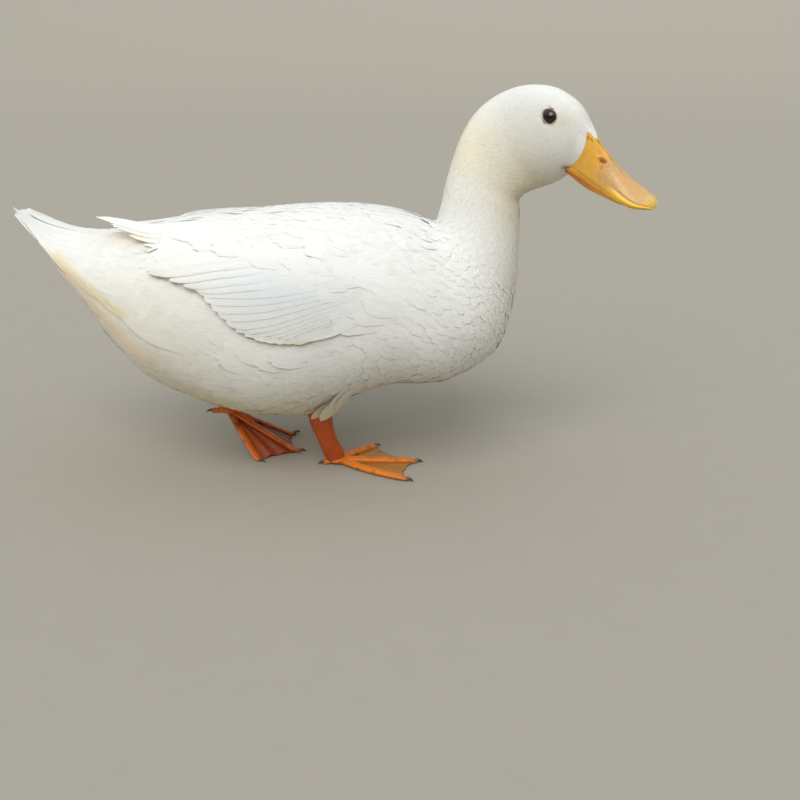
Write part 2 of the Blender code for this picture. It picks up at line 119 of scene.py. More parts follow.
# the body's sections: trunk as top x z, bottom x z, half width, squareness, height of the widest point
trunkSections = (
    (-302.6, 212.8, -296.5, 208.6, 14.0, 2.0, 0.5), (-289.0, 204.8, -279.5, 193.2, 28.0, 2.0, 0.45),
    (-263.4, 197.0, -264.0, 167.0, 40.0, 2.0, 0.45), (-235.0, 195.8, -249.5, 140.3, 50.0, 2.0, 0.47),
    (-203.0, 199.8, -235.4, 112.0, 61.0, 2.0, 0.5), (-168.0, 207.0, -212.0, 83.2, 73.0, 2.05, 0.5),
    (-127.0, 211.0, -167.0, 59.7, 82.0, 2.15, 0.52), (-87.0, 215.0, -114.0, 46.2, 87.0, 2.2, 0.52),
    (-44.0, 216.0, -61.5, 57.4, 88.0, 2.2, 0.52), (-4.0, 212.0, -6.0, 73.2, 84.0, 2.15, 0.5),
    (17.0, 206.4, 44.0, 77.2, 75.0, 2.1, 0.5), (26.0, 202.8, 82.5, 104.3, 62.0, 2.0, 0.5),
    (29.0, 205.0, 93.2, 144.0, 49.0, 2.0, 0.5))
# neck as top x y z, bottom x y z, half width, squareness, widest, share of the head's turn
neckSections = (
    (32.5, 0.0, 216.0, 95.0, 0.0, 181.0, 37.5, 2.0, 0.5, 0.0),
    (37.5, 1.5, 239.6, 95.2, 1.0, 210.3, 30.0, 2.0, 0.5, 0.15),
    (47.0, 5.0, 267.5, 95.4, 2.5, 222.0, 26.5, 2.0, 0.5, 0.4),
    (58.2, 7.5, 286.0, 104.0, 3.0, 227.8, 25.0, 2.0, 0.5, 0.65),
    (76.0, 6.0, 300.0, 114.0, 1.5, 231.4, 24.0, 2.0, 0.5, 0.85))
# head in its own frame, as the trunk
headSections = (
    (-65.0, 8.0, -16.0, -50.0, 23.0, 2.0, 0.46), (-42.5, 16.5, -12.0, -43.5, 20.8, 2.0, 0.46),
    (-20.8, 13.9, -9.5, -37.7, 16.8, 2.0, 0.42), (-3.5, 1.6, -7.5, -31.5, 11.5, 2.2, 0.36))
thighSwells = (((-64.0, -34.0, 52.0), 9.0, 17.0), ((-112.0, 26.0, 50.0), 6.0, 22.0))  # middle, height, reach


def sectionTable():
    # one row per section: top, bottom, sideways direction, half width, squareness, widest
    rows = [(tx, 0, tz, bx, 0, bz, 0, 1, 0, w, q, m) for tx, tz, bx, bz, w, q, m in trunkSections]
    for tx, ty, tz, bx, by, bz, w, q, m, turn in neckSections:
        across = np.array((0, 1, 0)) * (1 - turn) + headTurn[:, 1] * turn
        rows.append((tx, ty, tz, bx, by, bz, *across / np.linalg.norm(across), w, q, m))
    for tx, tz, bx, bz, w, q, m in headSections:
        rows.append((*fromHead((tx, 0, tz)), *fromHead((bx, 0, bz)), *headTurn[:, 1], w, q, m))
    return np.array(rows, float)


sections = sectionTable()
middles = (sections[:, :3] + sections[:, 3:6]) / 2
station = np.concatenate([[0], np.cumsum(np.linalg.norm(np.diff(middles, axis=0), axis=1))])
bodyEnd = station[-1]


def bodyAt(along, around):
    # superellipse round each section's middle: up = cos^(2/q), out = sin^(2/q), with a gaussian swell over
    # each thigh that points down and a little outwards
    row = smoothTable(station, sections, along)
    up, out = np.cos(around), np.sin(around)
    up = (np.sign(up) * np.abs(up) ** (2 / row[..., 10]))[..., None]
    out = (np.sign(out) * np.abs(out) ** (2 / row[..., 10]))[..., None]
    top, bottom, side = row[..., 0:3], row[..., 3:6], row[..., 6:9]
    middle = bottom + (top - bottom) * row[..., 11:12]
    high = np.where(up > 0, up * (top - middle), -up * (bottom - middle))
    point = middle + high + side * row[..., 9:10] * out
    for place, rise, spread in thighSwells:
        near = np.exp(-((point - np.array(place))**2).sum(-1, keepdims=True) / (2 * spread**2))
        point = point + near * rise * np.array((0.15, 0.1 * np.sign(place[1]), -0.98))
    return point


# the body's surface on a fine grid of half a millimetre by half a degree, read back by straight-line
# interpolation
gridAlong = np.linspace(0, bodyEnd, 1121)
gridDegrees = np.linspace(-180.0, 180.0, 721)
gridPoint = bodyAt(gridAlong[:, None], np.radians(gridDegrees)[None])
alongWay = np.gradient(gridPoint, gridAlong, axis=0)
wrapped = np.concatenate([gridPoint[:, -2:-1], gridPoint, gridPoint[:, 1:2]], 1)
aroundWay = wrapped[:, 2:] - wrapped[:, :-2]  # over two half degrees
gridNormal = np.cross(alongWay, aroundWay)
gridNormal /= np.linalg.norm(gridNormal, axis=-1, keepdims=True)
gridPace = np.stack([np.linalg.norm(alongWay, axis=-1), np.linalg.norm(aroundWay, axis=-1)], -1)
gridAll = np.concatenate([gridPoint, gridNormal, gridPace], -1).astype(np.float32)


def surface(along, degrees):
    # point, outward normal, and mm moved per mm along and per degree round
    x = np.clip(along / bodyEnd, 0, 0.99999) * (len(gridAlong) - 1)
    y = (((degrees + 180.0) % 360.0) / 360.0) * (len(gridDegrees) - 1)
    i, j = x.astype(int), np.minimum(y.astype(int), len(gridDegrees) - 2)
    fx, fy = (x - i)[..., None], (y - j)[..., None]
    value = ((gridAll[i, j] * (1 - fx) + gridAll[i + 1, j] * fx) * (1 - fy)
             + (gridAll[i, j + 1] * (1 - fx) + gridAll[i + 1, j + 1] * fx) * fy)
    return value[..., :3], value[..., 3:6], value[..., 6], value[..., 7]


# folded wing over the flank: mm along, lower edge in degrees from the top, fullness in mm
wing = {
    "along": (113, 120, 131, 145, 162, 176, 190, 206, 240, 250, 267, 281, 297, 315, 333, 346, 356),
    "lower": (56, 59, 62, 66, 69, 77, 84.5, 88, 91, 90, 88, 82, 77, 72, 66, 58, 50),
    "full": (4.4, 5.0, 6.0, 6.6, 7.0, 7.0, 7.0, 7.0, 7.0, 7.0, 6.4, 5.8, 5.0, 4.2, 3.2, 2.2, 1.2),
    "upper": 7.0,                          # degrees from the top where it begins
    "rim": 1.9,                            # height of its edge over the flank
    "rearEnd": 108.0, "rearRise": 16.0,    # mm along where its rear begins, and over how many mm it rises
    "frontEnd": 360.0, "frontRise": 90.0,  # the same for its front
}


def wingPart(along, degrees):
    # 0 at the wing's upper edge, 1 at its lower edge
    lower = np.interp(along, wing["along"], wing["lower"])
    return (np.abs((degrees + 180.0) % 360.0 - 180.0) - wing["upper"]) / (lower - wing["upper"])


def wingFullness(along, degrees):
    # a rim plus a fullness that follows sin(pi f^1.7)^0.5 across the wing, where f is wingPart
    f = wingPart(along, degrees)
    across = np.sqrt(np.sin(np.pi * np.clip(f, 0, 1) ** 1.7).clip(0))
    full = wing["rim"] + (np.interp(along, wing["along"], wing["full"]) - wing["rim"]) * across
    return full * ease((wing["frontEnd"] - along) / wing["frontRise"]) * ease((f - 0.06) / 0.34), f


def wingSwell(along, degrees):
    # how far the folded wing stands off the body; the front of its lower edge melts into the breast
    full, f = wingFullness(along, degrees)
    soft = 0.015 + 0.16 * ease((along - 240.0) / 60.0)
    return full * ease((along - wing["rearEnd"]) / wing["rearRise"]) * ease((1.0 - f) / soft)


def wingShelf(along, degrees):
    # the same fullness carried on past the wing's lower and rear edges, for feathers that overhang them
    return wingFullness(np.maximum(along, wing["rearEnd"] + 18.0), degrees)[0]


def lifted(along, degrees, lift):
    # a place on the body moved out along its normal by lift mm
    point, normal, _, _ = surface(along, degrees)
    return point + normal * lift[..., None]


def gridFaces(rows, columns, wrap=False):
    # two triangles for each cell of a rows x columns grid of points
    r, c = np.meshgrid(np.arange(rows - 1), np.arange(columns if wrap else columns - 1), indexing="ij")
    n = (c + 1) % columns
    a, b, d, e = r * columns + c, (r + 1) * columns + c, (r + 1) * columns + n, r * columns + n
    return np.concatenate([np.stack([a, b, d], -1).reshape(-1, 3), np.stack([a, d, e], -1).reshape(-1, 3)])


def facingOut(points, faces):
    # turned round if the enclosed volume comes out negative
    a, b, c = points[faces[:, 0]], points[faces[:, 1]], points[faces[:, 2]]
    return faces if (np.cross(a, b) * c).sum() > 0 else faces[:, ::-1]


def closedLoft(rings):
    # rings of points joined in order, both ends fanned to their middles
    rows, columns = rings.shape[:2]
    points = np.concatenate([rings.reshape(-1, 3), rings[[0, -1]].mean(1)])
    edge = np.arange(columns)
    after, start = (edge + 1) % columns, (rows - 1) * columns
    first = np.stack([np.full(columns, rows * columns), edge, after], -1)
    last = np.stack([np.full(columns, rows * columns + 1), start + after, start + edge], -1)
    return points, facingOut(points, np.concatenate([gridFaces(rows, columns, True), first, last]))


def closedShell(outer, inner):
    # two matching open grids joined round their rim
    rows, columns = outer.shape[:2]
    count = rows * columns
    index = np.arange(count).reshape(rows, columns)
    rim = np.concatenate([index[0], index[1:, -1], index[-1, -2::-1], index[-2:0:-1, 0]])
    after = np.roll(rim, -1)
    sheet = gridFaces(rows, columns)
    points = np.concatenate([outer.reshape(-1, 3), inner.reshape(-1, 3)])
    faces = np.concatenate([sheet, count + sheet[:, ::-1], np.stack([rim, after, after + count], -1),
                            np.stack([rim, after + count, rim + count], -1)])
    return points, facingOut(points, faces)


def joined(shapes):
    # several shapes as one: their points in a row, each one's faces counted on from the last
    points, faces, start = [], [], 0
    for p, f in shapes:
        points.append(p)
        faces.append(f + start)
        start += len(p)
    return np.concatenate(points), np.concatenate(faces)


def placed(name, data, place=(0.0, 0.0, 0.0), turn=(0.0, 0.0, 0.0)):
    # a new object of the scene: its place in metres, its turn in degrees
    thing = bpy.data.objects.new(name, data)
    thing.location, thing.rotation_euler = place, [math.radians(angle) for angle in turn]
    bpy.context.scene.collection.objects.link(thing)
    return thing


def meshPiece(name, points, faces, material, stands=(), maps=None, colours=None, corners=None):
    # a mesh object at the origin: its points moved by duckShift and written in metres, with its maps, point
    # colours and corner normals, the slot it fills and the nodes it stands for
    mesh = bpy.data.meshes.new(name)
    points = (np.asarray(points, float).reshape(-1, 3) + duckShift) * 0.001
    faces = np.ascontiguousarray(faces, np.int32)
    mesh.vertices.add(len(points))
    mesh.vertices.foreach_set("co", points.astype(np.float32).ravel())
    mesh.loops.add(faces.size)
    mesh.loops.foreach_set("vertex_index", faces.ravel())
    mesh.polygons.add(len(faces))
    mesh.polygons.foreach_set("loop_start", np.arange(len(faces), dtype=np.int32) * 3)
    mesh.polygons.foreach_set("use_smooth", np.ones(len(faces), bool))
    mesh.update(calc_edges=True)
    for mapName, uv in (maps or {}).items():
        mesh.uv_layers.new(name=mapName).data.foreach_set("uv", uv[faces.ravel()].astype(np.float32).ravel())
    # the point colours hold stains and painted shade
    if colours is not None:
        painted = np.c_[colours.reshape(-1, 3), np.ones(len(points))].astype(np.float32)
        mesh.attributes.new("stainAndShade", "FLOAT_COLOR", "POINT").data.foreach_set("color", painted.ravel())
    if corners is not None:
        mesh.normals_split_custom_set(corners)
    mesh.materials.append(material)
    piece = placed(name, mesh)
    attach(piece, "root")
    if stands:
        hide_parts(*stands)


def addNode(tree, kind, settings=None, inputs=None):
    # one node with its settings; an input is a value or another node's output
    node = tree.nodes.new(kind)
    for key, value in (settings or {}).items():
        setattr(node, key, value)
    for key, value in (inputs or {}).items():
        if isinstance(value, bpy.types.NodeSocket):
            tree.links.new(value, node.inputs[key])
        else:
            node.inputs[key].default_value = value
    return node


def newMaterial(name, sockets):
    # a principled material with these inputs set
    material = bpy.data.materials.new(name)
    material.use_nodes = True
    shader = material.node_tree.nodes["Principled BSDF"]
    for key, value in sockets.items():
        shader.inputs[key].default_value = value
    return material, material.node_tree, shader


def mottled(tree, shader, colour, noise, shades, relief=0.0):
    # the base colour times a noise spread over the shades, which also raises a bump of up to 0.4 mm
    grain = addNode(tree, "ShaderNodeTexNoise", None, noise)
    shade = addNode(tree, "ShaderNodeMapRange", None, {"Value": grain.outputs["Fac"]} | shades)
    tinted = addNode(tree, "ShaderNodeVectorMath", {"operation": "SCALE"}, {
        0: colour, "Scale": shade.outputs["Result"]})
    tree.links.new(tinted.outputs["Vector"], shader.inputs["Base Color"])
    if relief:
        bump = addNode(tree, "ShaderNodeBump", None, {
            "Height": grain.outputs["Fac"], "Strength": relief, "Distance": 0.0004})
        tree.links.new(bump.outputs["Normal"], shader.inputs["Normal"])
        return bump.outputs["Normal"]


# markings and painted shade of the plumage: colour, strength, and where it lies as centre and reach in mm
plumageTints = {
    "white": "#f5f5f1",
    "blobs": (
        ("#f6ebc6", 0.7, (52, -6, 262), (30, 60, 26)),      # cream up the back of the neck
        ("#ece0bb", 0.6, (92, -16, 238), (26, 50, 22)),     # and under the cheek
        ("#cdb885", 0.75, (112, -14, 217), (28, 40, 14)),   # throat: tan, partly painted shade under the chin
        ("#e6ddbb", 0.5, (100, -6, 150), (30, 60, 70)),     # front of the neck and breast
        ("#c8ac62", 0.92, (30, 0, 63), (90, 80, 27)),       # underside of the breast: tan, partly painted shade and warm light from the ground
        ("#ecd692", 0.9, (-80, 0, 42), (90, 80, 27)),       # belly: tan, partly painted shade and warm light from the ground
        ("#ebd186", 0.85, (-165, 0, 62), (60, 80, 26)),     # vent: tan, partly painted shade and warm light from the ground
        ("#fbe2b8", 0.75, (-222, 0, 92), (44, 60, 40)),     # stained feathers under the tail
        ("#fae4c6", 0.6, (-262, 0, 140), (26, 50, 30)),
        ("#efe9d2", 0.5, (-190, -60, 130), (70, 50, 44)),   # cream over the rear flank
        ("#e6cf9c", 0.5, (-206, -20, 196), (22, 26, 5)),    # painted shadow under the wing's tip
    ),
    # the same placed on the body: colour, strength, mm along and degrees from the top (both sides), reach
    "marks": (
        ("#d6dcdf", 0.75, 236, 74, (46, 16, 17)),           # painted cool shade over the folded wing, which lies in shadow
        ("#e2e7ea", 0.6, 200, 62, (30, 20, 12)),
        ("#d8c08c", 0.4, 246, 93, (16, 9, 3)),              # painted shadow under the wing's edge
        ("#e2d7b8", 0.45, 545, 46, (8, 12, 7)),             # before the eye
        ("#7a5a38", 0.7, 552, 119, (2.0, 4, 1.8)),          # corner of the mouth
    ),
    # streaks: colour, strength, reach in mm, then places along them; the first is painted shadow in a
    # crease, the others stains
    "streaks": (
        ("#dfcb82", 0.62, 3.6, ((46, 80), (64, 86), (84, 91), (110, 95))),     # painted shadow in the crease beside the tail's root
        ("#fbdfb6", 0.6, 8.0, ((46, 96), (74, 106), (104, 114), (140, 122))),  # under the tail
        ("#e4d7a2", 0.4, 5.0, ((150, 128), (190, 138), (235, 146))),           # lower flank
    ),
}


def plumageColour(points):
    # white mixed towards each tint by exp(-(distance / reach)^2)
    colour = np.broadcast_to(linear(plumageTints["white"]), points.shape)
    marks = [(code, strength, surface(np.array(along), np.array(side * degrees))[0], reach)
             for code, strength, along, degrees, reach in plumageTints["marks"] for side in (-1.0, 1.0)]
    for code, strength, centre, reach in list(plumageTints["blobs"]) + marks:
        away = (((points - np.array(centre)) / np.array(reach)) ** 2).sum(-1, keepdims=True)
        colour = mixed(colour, code, np.exp(-away) * strength)
    for code, strength, reach, places in plumageTints["streaks"]:
        for side in (-1.0, 1.0):
            line = surface(np.array(places)[:, 0], np.array(places)[:, 1] * side)[0]
            away = np.full(points.shape[:-1], 1e9)
            for a, b in zip(line[:-1], line[1:]):  # distance to each stretch of the streak
                share = np.clip(((points - a) * (b - a)).sum(-1) / ((b - a) ** 2).sum(), 0, 1)
                away = np.minimum(away, ((points - a - share[..., None] * (b - a)) ** 2).sum(-1))
            colour = mixed(colour, code, (strength * np.exp(-away / reach**2))[..., None])
    return colour


def plumageMaterial(name, grain, roughness, relief):
    # keratin vanes: matt white with a faint silky sheen, barbs as fine streaks along each feather
    material, tree, shader = newMaterial(name, {
        "Roughness": roughness, "IOR": 1.4, "Sheen Weight": 0.15, "Sheen Roughness": 0.4,
        "Specular IOR Level": 0.3, "Subsurface Weight": 0.12, "Subsurface Radius": (1.0, 0.85, 0.7),
        "Subsurface Scale": 0.002})
    stainAndShade = addNode(tree, "ShaderNodeAttribute", {"attribute_name": "stainAndShade"})
    place = addNode(tree, "ShaderNodeUVMap", {"uv_map": "vane"})
    stretch = addNode(tree, "ShaderNodeMapping", None, {
        "Vector": place.outputs["UV"], "Scale": (1.0, 0.09, 1.0)})
    noise = {"Vector": stretch.outputs["Vector"], "Scale": grain, "Detail": 3.0, "Roughness": 0.6}
    shades = {"From Min": 0.25, "From Max": 0.75, "To Min": 0.9, "To Max": 1.0}
    mottled(tree, shader, stainAndShade.outputs["Color"], noise, shades, relief)
    return material


contourFeather = plumageMaterial("contourFeather", 1.1, 0.75, 0.5)  # streaks about 1 mm apart
flightFeather = plumageMaterial("flightFeather", 1.5, 0.6, 0.3)     # flatter and a little glossier

# the eye: mm along the body and degrees from the top, how deep the ball's centre lies, reaches of the lid
eye = {
    "spot": (537.3, 50.8), "deep": 4.95, "radius": 7.2, "pupil": 2.9, "iris": "#2c1308",
    "lidReach": (5.7, 5.3), "lidTube": 0.6, "lidLift": -0.1, "corner": 0.04, "lidLow": "#c9b4a2",
    "lidShadedTop": "#8f7d6e",
    "bare": 6.0,  # no feather grows inside this reach
}


def eyePoint(side):
    # the eye's place on the body: side is -1 for the right, 1 for the left
    return surface(np.array(eye["spot"][0]), np.array(eye["spot"][1] * side))


def bakeSpot(along, degrees):
    # a place on the body's unwrap, inside a margin of 3 in 100
    return np.stack([along / bodyEnd, (degrees + 180.0) / 360.0], -1) * 0.94 + 0.03


skin = {
    "depthAlong": (0, 40, 120, 380, 440, 500, 561), "depth": (0.6, 0.9, 1.2, 1.2, 1.0, 0.7, 0.5),
    "rings": 330, "sides": 220, "eyeDent": 2.6, "eyeReach": 5.2,
}


def bareSkin():
    # the body's surface drawn in by the coat's depth and swelled by the wings, dented round each eye
    along = np.linspace(0, bodyEnd, skin["rings"])[:, None] + np.zeros(skin["sides"])
    degrees = np.linspace(-180, 180, skin["sides"], endpoint=False)[None] + np.zeros_like(along)
    point = surface(along, degrees)[0]
    dent = 0.0
    for side in (-1, 1):
        away = np.linalg.norm(point - eyePoint(side)[0], axis=-1)
        dent = dent + skin["eyeDent"] * bell(away, 0.0, skin["eyeReach"], 4)
    depth = np.interp(along, skin["depthAlong"], skin["depth"])
    points, faces = closedLoft(lifted(along, degrees, wingSwell(along, degrees) - depth - dent))
    maps = {"OFBake": bakeSpot(along, degrees), "vane": np.stack([degrees * 1.4, along], -1)}
    for mapName, grid in maps.items():
        grid = grid.reshape(-1, 2)  # the points that close the ends take a place of the first and last ring
        maps[mapName] = np.concatenate([grid, grid[[0, -1]]])
    meshPiece("skin", points, faces, contourFeather,
              ("trunk", "tail", "neck", "head", "wing_left", "wing_right"), maps, plumageColour(points))


bareSkin()
print("skin made")


def vaneFaces(rings, columns):
    # one vane: a top grid, and below it an inner grid that shares the rim; root and tip closed
    top = np.arange(rings * columns).reshape(rings, columns)
    under = top.copy()
    under[:, 1:-1] = rings * columns + np.arange(rings * (columns - 2)).reshape(rings, columns - 2)
    faces = []
    for grid, way in ((top, 1), (under, -1)):
        a, b, c, d = (part.ravel() for part in (grid[:-1, :-1], grid[1:, :-1], grid[1:, 1:], grid[:-1, 1:]))
        sheet = np.concatenate([np.stack([a, b, c], -1), np.stack([a, c, d], -1)])
        faces.append(sheet[:, ::way])
    for row, way in ((0, 1), (-1, -1)):
        a, b, c, d = top[row, :-1], top[row, 1:], under[row, 1:], under[row, :-1]
        cap = np.concatenate([np.stack([a, b, c], -1), np.stack([a, c, d], -1)])
        faces.append(cap[:, ::way])
    faces = np.concatenate(faces)
    return faces[(faces[:, 0] != faces[:, 1]) & (faces[:, 1] != faces[:, 2]) & (faces[:, 0] != faces[:, 2])]


# what a group of feathers has unless it says otherwise: heights in mm over the body, shares of length or of
# half width
plainVane = {
    "material": flightFeather,
    "crowd": 1.6,                       # how much closer the rows of points stand towards the tip
    "liftPower": 1.0, "droop": 0.3,     # how late the tip rises, how far the sides hang
    "torn": 0.0, "roundEnd": 0.0,       # how uneven and how round the end is
    "quill": 0.25, "grow": 0.4,         # width at the root, and where it is full
    "point": (1.0, 1.0, 1.0),           # a pointed end: where it starts, how late and how blunt it narrows
    "spine": 0.0,                       # a raised shaft
    "silk": 0.8, "edgeShade": 0.0, "uneven": 0.0,  # shading leaned to the body's, painted shade on the edges, uneven tone
    "halfWidth": 6.0, "tilt": 0.0, "rise": 0.0,    # for all the feathers alike, or one value for each
    "onWing": False, "onFlank": True,   # whether they ride on the wing's shelf, or on its swell
}


meshLimit = 190000    # triangles in one mesh at most
patchSize = 0.003     # side of a feather's patch in the bake map
edgeShadeTint = "#d8cfb8"  # colour of the painted shade along feather edges
goldenShare = 0.6180339


def vaneOutline(paths, look, t, v):
    # curved centre lines given as root, middle and tip (mm along, degrees): half width grows from the quill,
    # the end is cut round (columns shorter by 1 - sqrt(1 - v^2)) or drawn to a point, and torn columns end
    # unevenly
    torn = dice.uniform(-1, 1, (len(paths), 1, v.shape[-1])) * look["torn"]
    reach = t * (1 + torn - look["roundEnd"] * (1 - np.sqrt(1 - 0.97 * v**2)))
    p0, p1, p2 = (paths[:, k][:, None, None] for k in range(3))
    r = reach[..., None]
    spot = (1 - r) ** 2 * p0 + 2 * r * (1 - r) * p1 + r**2 * p2
    way = 2 * (1 - r) * (p1 - p0) + 2 * r * (p2 - p1)
    _, _, paceAlong, paceAround = surface(spot[..., 0], spot[..., 1])
    dx, dy = way[..., 0] * paceAlong, way[..., 1] * paceAround
    size = np.hypot(dx, dy) + 1e-9
    grow = look["quill"] + (1 - look["quill"]) * ease(t / look["grow"])
    start, late, blunt = look["point"]
    close = (1 - np.clip((t - start) / (1 - start), 0, 1) ** late) ** blunt if start < 1 else 1
    halfWidth = np.broadcast_to(look["halfWidth"], len(paths))[:, None, None]
    wide = halfWidth * grow * np.maximum(close, 0.07) * v
    along = spot[..., 0] - dy / size * wide / paceAlong
    degrees = spot[..., 1] + dx / size * wide / paceAround
    return along, degrees, wide, size.mean((1, 2))[:, None, None]


def vaneLift(paths, look, along, degrees, t, v):
    # height climbs from root to tip by t^liftPower, sides droop by v^2 and tilt by v, single tips rise by
    # t^2
    tilt, rise = (np.broadcast_to(look[key], len(paths))[:, None, None] for key in ("tilt", "rise"))
    lift = look["liftRoot"] + (look["liftTip"] - look["liftRoot"]) * t ** look["liftPower"]
    lift = lift - look["droop"] * v**2 + look["spine"] * bell(v, 0, 0.16) * (1 - t) ** 0.5
    lift = lift + tilt * v * ease(t * 2) + rise * t**2
    if "heights" in look:  # a wing tip that leaves the body: mm over the body by mm along
        return lift - look["liftRoot"] + np.interp(along, *look["heights"])
    if look["onWing"]:
        return lift + wingShelf(along, degrees)
    if look["onFlank"]:
        atRoot = wingSwell(paths[:, 0, 0], paths[:, 0, 1])[:, None, None]
        return lift + np.minimum(wingSwell(along, degrees), atRoot + 1.6)
    return lift


def vaneNormals(paths, look, along, degrees, top):
    # the feather's own normals, leaned by silk towards the body's; more so on the back
    silks = look.get("silkBack", look["silk"]), look["silk"]
    silk = np.interp(np.abs(paths[:, 0, 1]), (40, 90), silks)[:, None, None, None]
    own = unit(np.cross(np.gradient(top, axis=1), np.gradient(top, axis=2)))
    base = surface(along, degrees)[1]
    own = own * np.sign((own * base).sum(-1, keepdims=True) + 1e-9)
    return unit(own * (1 - silk) + base * silk)


def topAndUnder(top, under=None):
    # one row per point in the order of vaneFaces: a feather's top grid, then its under grid without the rim
    under = top if under is None else under
    count, _, _, size = top.shape
    grids = [top.reshape(count, -1, size), under[:, :, 1:-1].reshape(count, -1, size)]
    return np.concatenate(grids, 1).reshape(-1, size)


def vanes(name, paths, look):
    # feathers along curved lines as joined meshes; "drawn" moves tips that share of the way to "drawTo"
    look = plainVane | look
    count, rings, columns = len(paths), look["rings"], look["columns"]
    t = (1 - (1 - np.linspace(0, 1, rings)) ** look["crowd"])[None, :, None]
    v = np.linspace(-1, 1, columns)[None, None, :]
    along, degrees, wide, length = vaneOutline(paths, look, t, v)
    lift = vaneLift(paths, look, along, degrees, t, v)
    top, under = lifted(along, degrees, lift), lifted(along, degrees, lift - look["thick"] * (1 - v**2))
    if "drawTo" in look:
        gap = np.array(look["drawTo"]) - top[:, -1:, columns // 2:columns // 2 + 1]
        pull = np.broadcast_to(look["drawn"], count)[:, None, None, None] * gap * t[..., None] ** 3
        top, under = top + pull, under + pull
    points, each = topAndUnder(top, under), vaneFaces(rings, columns)
    per, sheet = len(points) // count, (rings - 1) * (columns - 1) * 2
    faces = (np.arange(count)[:, None, None] * per + each[None]).reshape(-1, 3)
    isUnder = (np.arange(len(each)) >= sheet) & (np.arange(len(each)) < 2 * sheet)
    normals = topAndUnder(vaneNormals(paths, look, along, degrees, top))[faces]
    corner = (normals * np.where(np.tile(isUnder, count), -1.0, 1.0)[:, None, None]).reshape(-1, 3)
    # the vane map is in mm from a place of its own; in the bake map each feather is a patch at its root
    vane = topAndUnder(np.stack([wide + dice.uniform(0, 900, (count, 1, 1)), length * t + 0 * v], -1))
    root = bakeSpot(paths[:, 0, 0], (paths[:, 0, 1] + 180.0) % 360.0 - 180.0)[:, None, None]
    patch = topAndUnder(np.stack([t + 0 * v, v / 2 + 0.5 + 0 * t], -1) * patchSize + root)
    # painted shade: a little darker along the edges and at the tip, where each feather lies over the one
    # below
    thin = look["edgeShade"] * np.maximum(np.abs(v) ** 6, t**10)
    thin = topAndUnder(np.broadcast_to(thin, along.shape)[..., None])
    tone = np.repeat(1 + dice.normal(0, look["uneven"], count), per)[:, None]
    colours = plumageColour(points) * (1 - thin * (1 - linear(edgeShadeTint))) * np.clip(tone, 0.9, 1.04)
    most = meshLimit // len(each)
    for k, start in enumerate(range(0, count, most)):
        stop = min(start + most, count)
        a, b, c, d = start * per, stop * per, start * len(each), stop * len(each)
        label = name + (f"_{k + 1}" if count > most else "")
        maps = {"OFBake": patch[a:b], "vane": vane[a:b]}
        meshPiece(label, points[a:b], faces[c:d] - a, look["material"], (), maps, colours[a:b],
                  corner[c * 3:d * 3])
    print(name, count, "feathers", len(faces), "triangles")


def scattered(patch):
    # roots in rows, as many in each row as its area holds: the running sum of (area / spacing^2) is cut
    # evenly, each row shifted by the golden share
    roots, row, (at, last) = [], 0, patch["fromTo"]
    while at < last:
        size = float(np.interp(at, patch["along"], patch["spacing"]))
        _, _, paceAlong, paceAround = surface(np.full(720, at), gridDegrees[:-1] + 0.25)
        step = size * 0.8 / max(np.percentile(paceAlong, 80), 0.2)
        dense = paceAlong * step * paceAround * 0.5 / (size * size * 0.85)
        total = np.concatenate([[0], np.cumsum(dense)])
        count = int(total[-1])
        picks = (np.arange(count) + (row * goldenShare) % 1.0) * total[-1] / max(count, 1)
        where = np.interp(picks % total[-1], total, gridDegrees)
        roots.append(np.stack([np.full(count, at), where, np.full(count, size)], -1))
        at += step
        row += 1
    roots = np.concatenate(roots)
    roots[:, :2] += dice.uniform(-0.22, 0.22, (len(roots), 2)) * roots[:, 2:3]
    return roots[patch["keep"](roots)]


def lyingPaths(roots, length):
    # straight back along the body from each root, turned a few degrees at random, length in mm
    _, _, paceAlong, paceAround = surface(roots[:, 0], roots[:, 1])
    turn = np.radians(dice.normal(0, 4, len(roots)))
    back = -length * np.cos(turn) / paceAlong
    down = np.sign(roots[:, 1]) * length * np.sin(turn) / paceAround
    tip = roots[:, :2] + np.stack([back, down], -1)
    tip[:, 0] = np.maximum(tip[:, 0], 0.5)
    return np.stack([roots[:, :2], (roots[:, :2] + tip) / 2, tip], 1)


def offTheWing(roots):
    # the folded flight feathers need no small feathers over them
    along, f = roots[:, 0], wingPart(roots[:, 0], roots[:, 1])
    return ~((f > np.interp(along, (120, 170), (0.62, 0.42))) & (f < 1.04) & (along > 116) & (along < 282))


def awayFromEye(roots):
    # distance of each place from the nearer eye
    near = np.where(roots[:, 1:2] > 0, eyePoint(1)[0], eyePoint(-1)[0])
    return np.linalg.norm(surface(roots[:, 0], roots[:, 1])[0] - near, axis=1)


def offTheEye(roots):
    # roots outside the bare ring round the eye
    return awayFromEye(roots) > eye["bare"]


def shortOfTheEye(paths):
    # a feather that would come over the eye ends where it reaches the lid
    share = np.linspace(0, 1, 21)
    line = paths[:, :1] + (paths[:, 2:] - paths[:, :1]) * share[None, :, None]
    inside = awayFromEye(line.reshape(-1, 2)).reshape(len(paths), -1) < eye["bare"] - 0.3
    last = np.where(inside.any(1), np.maximum(inside.argmax(1) - 1, 2), len(share) - 1)
    return paths[:, :1] + (paths - paths[:, :1]) * share[last][:, None, None]


